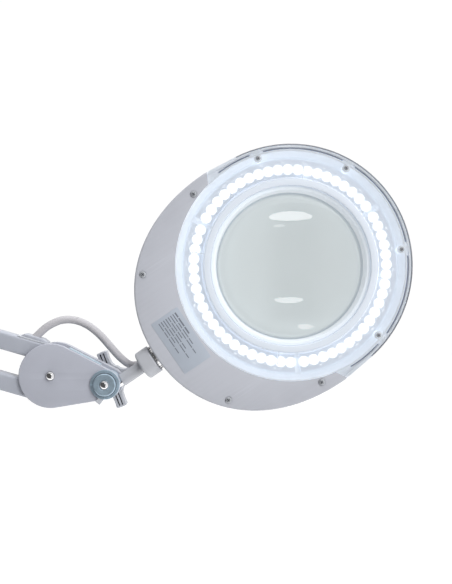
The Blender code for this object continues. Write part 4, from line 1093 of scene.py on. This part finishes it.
def front_housing():
    deck = [(WALL, FRONT_FACE - WALL), (WALL, SPLIT), (0.0005, SPLIT), (0.0, SPLIT + 0.0005),
            (0.0, SKIRT_BOTTOM)]
    rounding = 0.0016
    for cosine, sine in quarter(6):
        deck.append((rounding * (1 - cosine), FRONT_FACE - rounding * (1 - sine)))
    opening = [(0.0, FRONT_FACE - WALL), (0.0, FRONT_FACE)]
    shell = skin(head_outline(), deck, [circle(RING_WALL_OUTSIDE - 0.0008, steps=FINE)], opening)
    space = skin(cover_outline(-0.003, COVER_RADIUS + 0.0003), levels(0.0114, 0.03))
    neck = moved(lathe([(0.0, -0.16), (0.0046, -0.16), (0.0046, -0.12), (0.0, -0.12)], SMALL), ALONG_X)
    wells = [moved(lathe([(0.0, -0.0006), (0.0029, -0.0006), (0.0031, 0.002), (0.0, 0.002)], SMALL),
                   shift(*place, FRONT_FACE)) for place in HOUSING_SCREWS]
    knives = [(space, housing_plastic), (neck, housing_plastic)]
    knives += [(well, housing_plastic) for well in wells]
    mesh = carved("front_housing_shell", [(shell, housing_plastic)], knives, WORLD)
    # Painted light: faces of the far half above the skirt take lit_white, a brighter glowing copy of the
    # housing plastic, while the tail half keeps the darker housing grey.
    mesh.materials.append(lit_white)
    for face in mesh.polygons:
        lowest = min(mesh.vertices[corner].co.z for corner in face.vertices)
        if face.center.x > COVER_STEP_X and lowest > SKIRT_BOTTOM - 0.0001:
            face.material_index = len(mesh.materials) - 1
    mesh.transform(HEAD)
    piece_from_mesh("front_housing_shell", mesh, "head", ["front_housing"])

    # Painted light: the LED channel moulding, its bosses, bridges, ribs and rim are in lit_white, a glowing
    # copy of the white plastic.
    wall_top = 0.0114
    channel = [(RING_WALL_OUTSIDE, wall_top), (RING_WALL_OUTSIDE, 0.001), (INNER_WALL_OUTSIDE, 0.001),
               (INNER_WALL_OUTSIDE, 0.003), (RING_WALL_INSIDE - 0.0042, 0.003),
               (RING_WALL_INSIDE - 0.0010, 0.0085), (RING_WALL_INSIDE, wall_top)]
    # Painted light: the inner wall round the lens glows.
    inner_wall = [(INNER_WALL_OUTSIDE, 0.001), (INNER_WALL_INSIDE, 0.001),
                  (INNER_WALL_INSIDE, FRONT_FACE - 0.0003), (INNER_WALL_OUTSIDE, FRONT_FACE - 0.0003)]
    parts = [(lathe(soft_profile(channel, 0.0006, keep_ends=False), FINE), lit_white),
             (lathe(soft_profile(inner_wall, 0.0006, keep_ends=False), FINE), inner_wall_painted_glow)]
    boss = lathe(soft_profile([(0.0, 0.002), (0.0034, 0.002), (0.0034, 0.0112), (0.0, 0.0112)],
                              0.0003), SMALL)
    for angle in COVER_SCREW_ANGLES:
        parts.append((moved(boss, shift(*polar(COVER_SCREW_RADIUS + 0.0003, angle))), lit_white))
        bridge = block((0.0052, 0.0060, 0.0068), (0.0962, 0, 0.0077), 0.0006, 0.0003)
        parts.append((moved(bridge, turn(angle)), lit_white))
    for angle in (45, 135, 225, 315):
        rib = block((0.0105, 0.0007, 0.0060), (0.0762, 0, 0.0082), 0.0003, 0.0002)
        parts.append((moved(rib, turn(angle + 3.0)), lit_white))
    rim = skin(head_outline(WALL - 0.0002), levels(0.0060, 0.0100),
               [circle(RING_WALL_OUTSIDE - 0.0003, steps=FINE)])
    parts.append((rim, lit_white))
    # Painted shade: a thin strip in the darker housing grey along the far half's outer edge draws the
    # edge's shaded outline against the glowing rim.
    edge_start = COVER_STEP_X + 0.001
    edge = [point for point in head_outline(0.0001) if point[0] > edge_start]
    edge += [point for point in head_outline(0.0009) if point[0] > edge_start][::-1]
    parts.append((skin(edge, levels(0.0112, 0.01165)), housing_plastic))
    # Painted shade: grey arcs stand in for the dark lines of the grooves inside the rim, broken at the
    # screw bosses.
    stops = [-97.0, *COVER_SCREW_ANGLES, 97.0]
    for low, high in zip(stops, stops[1:]):
        low, high = low + 3.4, high - 3.4
        line = arc(0.0967, low, high, 30) + arc(0.0957, high, low, 30)
        parts.append((skin(line, levels(0.0095, 0.0109)), groove_painted_shade))
    piece("led_channel_moulding", "head", parts, HEAD)


def back_housing():
    floor_top = BACK_FACE + WALL
    rounding = 0.0045
    wall = []
    for cosine, sine in quarter(8):
        wall.append((rounding * (1 - sine), BACK_FACE + rounding * (1 - cosine)))
    wall += [(0.0, SPLIT - 0.0009), (0.0005, SPLIT - 0.0004), (WALL, SPLIT - 0.0004), (WALL, floor_top)]
    opening = [(0.0004, BACK_FACE), (0.0, BACK_FACE + 0.0004), (0.0, floor_top)]
    rocker_hole = rectangle(0.020, 0.014, 0.0008, ROCKER_PLACE)
    shell = skin(head_outline(), wall, [circle(LENS_OPENING, steps=FINE), rocker_hole], opening)
    outside, inside = INNER_WALL_INSIDE - 0.0003, LENS_OPENING - 0.002
    seat = [(outside, -0.0008), (outside, floor_top - 0.001), (LENS_OPENING, floor_top - 0.001),
            (LENS_OPENING, LENS_MIDDLE - LENS_RIM - 0.002), (inside, LENS_MIDDLE - LENS_RIM - 0.0012),
            (inside, LENS_MIDDLE - LENS_RIM), (LENS_RADIUS + 0.0003, LENS_MIDDLE - LENS_RIM),
            (LENS_RADIUS + 0.0003, -0.0008)]
    # Painted light: the lens seat glows.
    parts = [(shell, housing_plastic), (lathe(soft_profile(seat, 0.0002, False), FINE), lens_rim_painted_glow)]
    for place in HOUSING_SCREWS:
        post = lathe([(0.0, floor_top - 0.001), (0.0026, floor_top - 0.001), (0.0024, 0.010), (0.0, 0.010)],
                     SMALL)
        parts.append((moved(post, shift(*place)), housing_plastic))
    for y in (-0.013, 0.013):
        lug = block((0.006, 0.004, 0.0063), (LID_HINGE[0], y, -0.0247), 0.0010, 0.0008)
        parts.append((lug, housing_plastic))
    bezel_bottom, bezel_top = BACK_FACE - 0.0008, BACK_FACE + 0.0005
    bezel = skin(rectangle(0.0225, 0.0165, 0.0016, ROCKER_PLACE),
                 levels(bezel_bottom, bezel_top, 0.0005, 0.0),
                 [rectangle(0.0198, 0.0138, 0.0006, ROCKER_PLACE)], levels(bezel_bottom, bezel_top))
    parts.append((bezel, black_plastic))
    piece("back_housing_shell", "head", parts, HEAD, ["back_housing"])


def lens_and_ring():
    bow = (LENS_RADIUS ** 2 + LENS_SAG ** 2) / (2 * LENS_SAG)
    radii = [LENS_RADIUS * sine for _, sine in quarter(40)]
    front = [(r, LENS_EDGE / 2 + LENS_SAG - bow + math.sqrt(bow ** 2 - r ** 2)) for r in radii]
    back = [(r, -height) for r, height in reversed(front)]
    piece("lens_polished", "head", [(lathe(front + back, FINE), lens_glass)],
          HEAD @ shift(0, 0, LENS_MIDDLE), ["lens"])
    top, bottom = 0.0105, LENS_MIDDLE + LENS_RIM
    profile = [(INNER_WALL_INSIDE - 0.0003, top), (INNER_WALL_INSIDE - 0.0003, bottom),
               (LENS_OPENING, bottom), (LENS_OPENING + 0.0015, top)]
    # Painted light: the lens ring glows.
    piece("lens_ring_moulding", "head",
          [(lathe(soft_profile(profile, 0.0008, keep_ends=False), FINE), lens_rim_painted_glow)], HEAD,
          ["lens_ring"])


def led_boards():
    half = LED_PITCH * LEDS_PER_BOARD / 2 - 0.5
    low, high = 0.0033, 0.0045
    outline = arc(0.0880, -half, half, 60) + arc(0.0735, half, -half, 60)
    board = skin(outline, levels(low, high, 0.0, 0.0001))
    package = block((0.0050, 0.0050, 0.0016), (LED_RING_RADIUS, 0, high + 0.0007), 0.0003, 0.00015)
    bulge = [(0.0, high + 0.0014), (0.0022, high + 0.0014)]
    for cosine, sine in quarter(6):
        bulge.append((0.0022 * cosine, high + 0.0015 + 0.0009 * sine))
    bulge[-1] = (0.0, high + 0.0024)
    bulge = moved(lathe(bulge, 20), shift(LED_RING_RADIUS))
    halo = moved(lathe([(0.0, high), (0.0043, high), (0.0043, high + 0.0001), (0.0, high + 0.0001)], TINY),
                 shift(LED_RING_RADIUS))
    resistor = block((0.0012, 0.0020, 0.0006), (0.0855, 0, high + 0.0002), 0.0001, 0.00005)
    first = -LED_PITCH * (LEDS_PER_BOARD - 1) / 2
    for number, middle in enumerate((60, 180, 300), 1):
        # Painted light: the board glows as if lit by its LEDs.
        parts = [(board, board_painted_glow)]
        # Painted light: the LED packages and resistors glow as if lit, and the halo disc round each LED is
        # a painted pool of glow; only the bulge is the lamp.
        for led in range(LEDS_PER_BOARD):
            spin = turn(first + LED_PITCH * led)
            parts += [(moved(package, spin), package_painted_glow), (moved(bulge, spin), led_light),
                      (moved(halo, spin), led_halo)]
            if led % 2:
                parts.append((moved(resistor, turn(first + LED_PITCH * (led + 0.5))), package_painted_glow))
        piece(f"led_board_{number}_lit", "head", parts, HEAD @ turn(middle),
              [f"led_board_{number}"])


def cross_screw(name, radius, height, place, length, node, matrix=HEAD):
    """A pan-head screw with a cross recess."""
    profile = [(0.0, -length), (0.0011, -length), (0.0011, 0.0003), (radius * 0.98, 0.0003),
               (radius, 0.0006)]
    for cosine, sine in quarter(7)[1:]:
        profile.append((radius * (1 - 0.25 * sine - 0.75 * (1 - cosine)),
                        0.0006 + (height - 0.0006) * sine))
    profile[-1] = (0.0, height)
    arm_length, arm_width = radius * 1.15, radius * 0.26
    # Painted shade: the cross recess walls take the cutters' near-black material.
    knives = []
    for angle in (20, 110):
        shape = block((arm_length, arm_width, 0.003), (0, 0, height + 0.0008), 0.0001, 0.0)
        knives.append((moved(shape, turn(angle)), painted_shade_dark))
    mesh = carved(name, [(lathe(profile, 32), screw_steel)], knives, matrix @ shift(*place, FRONT_FACE))
    piece_from_mesh(name, mesh, "head", [node])


def cover_and_screws():
    holes = [circle(0.0016, polar(COVER_SCREW_RADIUS, angle)) for angle in COVER_SCREW_ANGLES]
    inner = circle(INNER_WALL_OUTSIDE + 0.0005, steps=FINE)
    cover = skin(cover_outline(0.0, COVER_RADIUS), levels(COVER_BOTTOM, FRONT_FACE, 0.0002, 0.0007),
                 [inner, *holes], levels(COVER_BOTTOM, FRONT_FACE, 0.0, 0.0003))
    piece("led_cover_clear", "head", [(cover, clear_plastic)], HEAD, ["led_cover"])
    for number, angle in enumerate(COVER_SCREW_ANGLES, 1):
        cross_screw(f"cover_screw_{number}_head", 0.00205, 0.0010, polar(COVER_SCREW_RADIUS, angle),
                    0.009, f"cover_screw_{number}")
    for number, place in enumerate(HOUSING_SCREWS, 1):
        cross_screw(f"housing_screw_{number}_head", 0.0025, 0.0012, place, 0.011,
                    f"housing_screw_{number}")


def label():
    """The rating sticker on the head's tail, with plain bars where the printing was."""
    sheet = skin(rectangle(0.026, 0.049, 0.0012), levels(0.0, 0.00018, 0.0, 0.0001))
    parts = [(sheet, label_silver)]
    for row in range(8):
        place = 0.0215
        height = 0.0013 if row == 0 else 0.0008
        for word in range(3 + row % 3):
            length = 0.0045 + 0.0035 * abs(math.sin(row * 2.1 + word * 1.3))
            centre = (0.0088 - 0.0023 * row, place - length / 2, 0.00019)
            parts.append((block((height, length, 0.00006), centre, 0.0001, 0.0), label_print))
            place -= length + 0.0009
    piece("rating_label", "head", parts,
          HEAD @ shift(-0.1087, 0.0, FRONT_FACE + 0.00002))


def head_inside():
    socket = soft_profile([(SHAFT_RADIUS + 0.0003, -0.1295), (0.0078, -0.1295), (0.0078, -0.1135),
                           (SHAFT_RADIUS + 0.0003, -0.1135)], 0.0004, keep_ends=False)
    piece("swivel_socket_turned", "head", [(moved(lathe(socket, SMALL), ALONG_X), zinc)], HEAD,
          ["swivel_socket"])
    board = block((0.026, 0.056, 0.0016), (-0.111, 0, -0.0168), 0.0015, 0.0002)
    parts = [(board, board_green)]
    for y in (-0.020, 0.0, 0.020):
        parts.append((block((0.012, 0.010, 0.0050), (-0.110, y, -0.0136), 0.0006, 0.0005), board_part))
        coil = lathe(soft_profile([(0.0, -0.0162), (0.0022, -0.0162), (0.0022, -0.0122), (0.0, -0.0122)],
                                  0.0003), TINY)
        parts.append((moved(coil, shift(-0.1015, y + 0.008)), zinc))
    piece("driver_board_populated", "head", parts, HEAD, ["driver_board"])


def rocker():
    half = 0.0085
    outline = [(-half, -0.0048), (0.0, -0.0033), (half, -0.0048), (half, 0.0), (0.003, 0.004),
               (-0.003, 0.004), (-half, 0.0)]
    cap = skin(soft_corners(outline, 0.0006), levels(-0.0065, 0.0065, 0.0004, 0.0004))
    holder = HEAD @ shift(*ROCKER_PLACE, -0.0192) @ turn(-ROCKER_TILT, "Y") @ turn(90, "X")
    dot = lathe([(0.0007, 0.0), (0.0012, 0.0), (0.0012, 0.0003), (0.0007, 0.0003)], TINY)
    dot = moved(dot, shift(-0.0052, -0.00425) @ turn(16, "Z") @ turn(90, "X"))
    piece("power_rocker_cap", "power_rocker",
          [(cap, black_plastic), (dot, label_silver)], holder, ["power_rocker"])


def lens_lid():
    """The white cover behind the lens: a shallow dished disc on a hinge."""
    bottom, top = 0.0006, 0.0028
    disc = [(0.0, bottom)]
    for radius, height in ((0.055, bottom), (0.060, bottom + 0.0004), (0.0655, bottom + 0.0004),
                           (0.0680, bottom), (LID_RADIUS - 0.0004, bottom)):
        disc.append((radius, height))
    disc += [(LID_RADIUS, bottom + 0.0005), (LID_RADIUS, top - 0.0005), (LID_RADIUS - 0.0005, top),
             (0.0, top)]
    lid = moved(lathe(soft_profile(disc, 0.0004), FINE), shift(-LID_HINGE[0]))
    tab = block((0.0195, 0.020, top - bottom), (-0.01235, 0, (top + bottom) / 2), 0.0007, 0.0005)
    barrel = lathe(soft_profile([(0.0015, -0.010), (0.0026, -0.010), (0.0026, 0.010), (0.0015, 0.010)],
                                0.0003, keep_ends=False), SMALL)
    grip = block((0.0018, 0.026, 0.0010), (-LID_HINGE[0] - LID_RADIUS + 0.0035, 0, bottom), 0.0006, 0.0003)
    # Painted light: the lid's material glows, standing in for light reaching it through the lens.
    parts = [(shape, lid_painted_glow) for shape in (lid, tab, moved(barrel, turn(90, "X")), grip)]
    piece("lens_cover_lid", "lens_cover", parts, HEAD @ shift(*LID_HINGE),
          ["lens_cover"])
    pin = soft_profile([(0.0, -0.0155), (0.0011, -0.0155), (0.0011, 0.0155), (0.0, 0.0155)], 0.0002)
    piece("cover_hinge_pin_turned", "head", [(lathe(pin, TINY), chrome)],
          HEAD @ shift(*LID_HINGE) @ turn(90, "X"), ["cover_hinge_pin"])


# Clamp

def threaded(radius, depth, pitch, low, high, sides=32):
    """A rod with a helical thread, closed at both ends."""
    points, faces = [], []
    rows = int((high - low) / pitch * 6)
    for row in range(rows + 1):
        height = low + (high - low) * row / rows
        for side in range(sides):
            phase = (height / pitch + side / sides) % 1.0
            size = radius - depth * abs(2 * phase - 1)
            angle = 2 * math.pi * side / sides
            points.append((size * math.cos(angle), size * math.sin(angle), height))
    for row in range(rows):
        for side in range(sides):
            following = (side + 1) % sides
            a, b = row * sides, (row + 1) * sides
            faces.append((a + side, a + following, b + following, b + side))
    faces.append(tuple(range(sides)))
    faces.append(tuple(range(rows * sides, rows * sides + sides)))
    return points, faces


def clamp():
    outline = [(-0.034, -0.068), (SCREW_X + 0.014, -0.068), (SCREW_X + 0.014, -0.056), (-0.024, -0.056),
               (-0.024, 0.0), (0.042, 0.0), (0.042, 0.004), (0.020, 0.008), (-0.020, 0.014),
               (-0.034, 0.002)]
    body = skin(soft_corners(outline, 0.0016), levels(-CLAMP_WIDTH / 2, CLAMP_WIDTH / 2, 0.0012, 0.0012))
    body = moved(body, turn(90, "X"))
    rib = skin(soft_corners([(-0.0352, -0.060), (-0.030, -0.060), (-0.030, -0.004), (-0.0352, -0.004)],
                            0.002), levels(-0.009, 0.009, 0.0008, 0.0008))
    socket = lathe(soft_profile([(0.0083, 0.010), (0.0150, 0.004), (0.0150, 0.0100), (0.0146, 0.0490),
                                 (0.0136, 0.0500), (0.0083, 0.0500)], 0.0006, keep_ends=False))
    boss = lathe(soft_profile([(0.0053, -0.0700), (0.0095, -0.0700), (0.0105, -0.0670), (0.0053, -0.0670)],
                              0.0004, keep_ends=False), SMALL)
    outlet = lathe(soft_profile([(0.0044, 0.0140), (0.0078, 0.0140), (0.0078, 0.0154), (0.0044, 0.0154)],
                                0.0003, keep_ends=False), SMALL)
    parts = [(body, grey_paint), (moved(rib, turn(90, "X")), grey_paint), (socket, grey_paint),
             (moved(boss, shift(SCREW_X)), grey_paint),
             (moved(outlet, shift(0, 0, LEAD_HEIGHT) @ turn(-90, "X")), zinc)]
    piece("clamp_frame_casting", "clamp", parts, WORLD, ["clamp_frame"])
    bush = soft_profile([(0.0063, 0.0522), (0.012, 0.0522), (0.012, 0.0503), (0.008, 0.0503),
                         (0.008, 0.026), (0.0063, 0.026)], 0.0003, keep_ends=False)
    piece("clamp_bush_moulding", "clamp", [(lathe(bush), nylon)], WORLD, ["clamp_bush"])

    pad_top = -0.032
    pad = [(0.0, pad_top), (0.0134, pad_top), (0.014, pad_top - 0.0006), (0.014, pad_top - 0.002),
           (0.0105, pad_top - 0.0062), (0.0095, pad_top - 0.008), (0.0053, pad_top - 0.008),
           (0.0053, pad_top - 0.003), (0.0, pad_top - 0.003)]
    piece("clamp_pad_moulding", "clamp_pad",
          [(lathe(soft_profile(pad, 0.0003)), black_rubber)], shift(SCREW_X), ["clamp_pad"])
    knob_top = -0.104
    rod = threaded(0.005, 0.0006, 0.0015, knob_top - 0.0085, pad_top - 0.006)
    ball = lathe(soft_profile([(0.0, pad_top - 0.0063), (0.0042, pad_top - 0.0063),
                               (0.0050, pad_top - 0.0048), (0.0042, pad_top - 0.0033),
                               (0.0, pad_top - 0.0033)], 0.0004), SMALL)
    piece("clamp_screw_threaded", "clamp_screw", [(rod, zinc), (ball, zinc)], shift(SCREW_X),
          ["clamp_screw"])
    clamp_knob(knob_top)


def clamp_knob(top):
    """A wing knob: a ribbed hub with two blades that thin towards their tips."""
    outline = []
    flutes = 18
    for flute in range(flutes):
        for share, radius in ((0.0, 0.0120), (0.35, 0.0120), (0.55, 0.0113), (0.80, 0.0113)):
            outline.append(polar(radius, 360 * (flute + share) / flutes))
    hub = skin(outline, levels(top - 0.014, top - 0.0035, 0.0008, 0.0004), [circle(0.0053)],
               levels(top - 0.014, top - 0.0035))
    cone = lathe([(0.0053, top - 0.0040), (0.0116, top - 0.0040), (0.0088, top), (0.0053, top)], SMALL)
    wing = [(-0.023, 0.0), (-0.0215, 0.0026), (-0.014, 0.0035), (0.014, 0.0035), (0.0215, 0.0026),
            (0.023, 0.0), (0.0215, -0.0026), (0.014, -0.0035), (-0.014, -0.0035), (-0.0215, -0.0026)]
    blades = skin(soft_corners(wing, 0.002), levels(top - 0.0165, top - 0.0025, 0.0018, 0.0018),
                  [circle(0.0100)], levels(top - 0.0165, top - 0.0025))
    piece("clamp_knob_moulding", "clamp_screw",
          [(hub, black_plastic), (cone, black_plastic), (blades, black_plastic)], shift(SCREW_X),
          ["clamp_knob"])


# Stage: a pale table edge that the clamp holds, a floor, and soft light

def stage():
    pale = finish("stage_pale", (0.86, 0.86, 0.86), 0.7, mottle=0.01, edge_lightening=1.0)
    shader = pale.node_tree.nodes["Principled BSDF"]
    shader.inputs["Emission Color"].default_value = (1.0, 1.0, 1.0, 1.0)
    shader.inputs["Emission Strength"].default_value = STAGE_GLOW
    top = block((0.60, 0.70, 0.0318), (0.2770, 0.0, -0.0160), 0.004, 0.002)
    ground = block((28.0, 15.0, 0.06), (0.0, 6.6, -0.75), 0.5, 0.01)
    new_object("stage_table", [(top, pale)])
    new_object("stage_floor", [(ground, pale)])

    studio_sky()
    bpy.context.scene.view_settings.view_transform = "Standard"
    for box in SOFT_BOXES:
        soft_box(*box)


def studio_sky():
    """White all round, with a dark screen in front and to the left for the bright metal to mirror."""
    world = bpy.data.worlds.new("studio")
    bpy.context.scene.world = world
    world.use_nodes = True
    tree = world.node_tree
    place = tree.nodes.new("ShaderNodeTexCoord")
    sides = tree.nodes.new("ShaderNodeSeparateXYZ")
    tree.links.new(place.outputs["Generated"], sides.inputs["Vector"])
    behind = node_of(tree, "ShaderNodeMapRange", From_Min=0.55, From_Max=0.85)
    behind.interpolation_type = "SMOOTHSTEP"
    tree.links.new(sides.outputs["Y"], behind.inputs["Value"])
    right = node_of(tree, "ShaderNodeMapRange", From_Min=0.15, From_Max=0.45, To_Min=DARK_SCREEN)
    right.interpolation_type = "SMOOTHSTEP"
    tree.links.new(sides.outputs["X"], right.inputs["Value"])
    above = node_of(tree, "ShaderNodeMapRange", From_Min=0.62, From_Max=0.85)
    above.interpolation_type = "SMOOTHSTEP"
    tree.links.new(sides.outputs["Z"], above.inputs["Value"])
    light = behind.outputs["Result"]
    for other in (right, above):
        most = tree.nodes.new("ShaderNodeMath")
        most.operation = "MAXIMUM"
        tree.links.new(light, most.inputs[0])
        tree.links.new(other.outputs["Result"], most.inputs[1])
        light = most.outputs["Value"]
    tree.links.new(light, tree.nodes["Background"].inputs["Color"])
    tree.nodes["Background"].inputs["Strength"].default_value = SKY_STRENGTH


def soft_box(name, place, target, width, height, power, in_mirrors):
    data = bpy.data.lights.new(name, "AREA")
    data.shape = "ELLIPSE"
    data.size = width
    data.size_y = height
    data.energy = power
    lamp = linked(name, data)
    lamp.visible_glossy = in_mirrors
    lamp.visible_transmission = in_mirrors
    lamp.location = place
    lamp.rotation_euler = (Vector(target) - Vector(place)).to_track_quat("-Z", "Y").to_euler()


make_camera()
mains_lead()
arm_cords()
arm()
head_bracket()
tilt_joint()
stem()
front_housing()
back_housing()
lens_and_ring()
led_boards()
cover_and_screws()
label()
head_inside()
rocker()
lens_lid()
clamp()
stage()
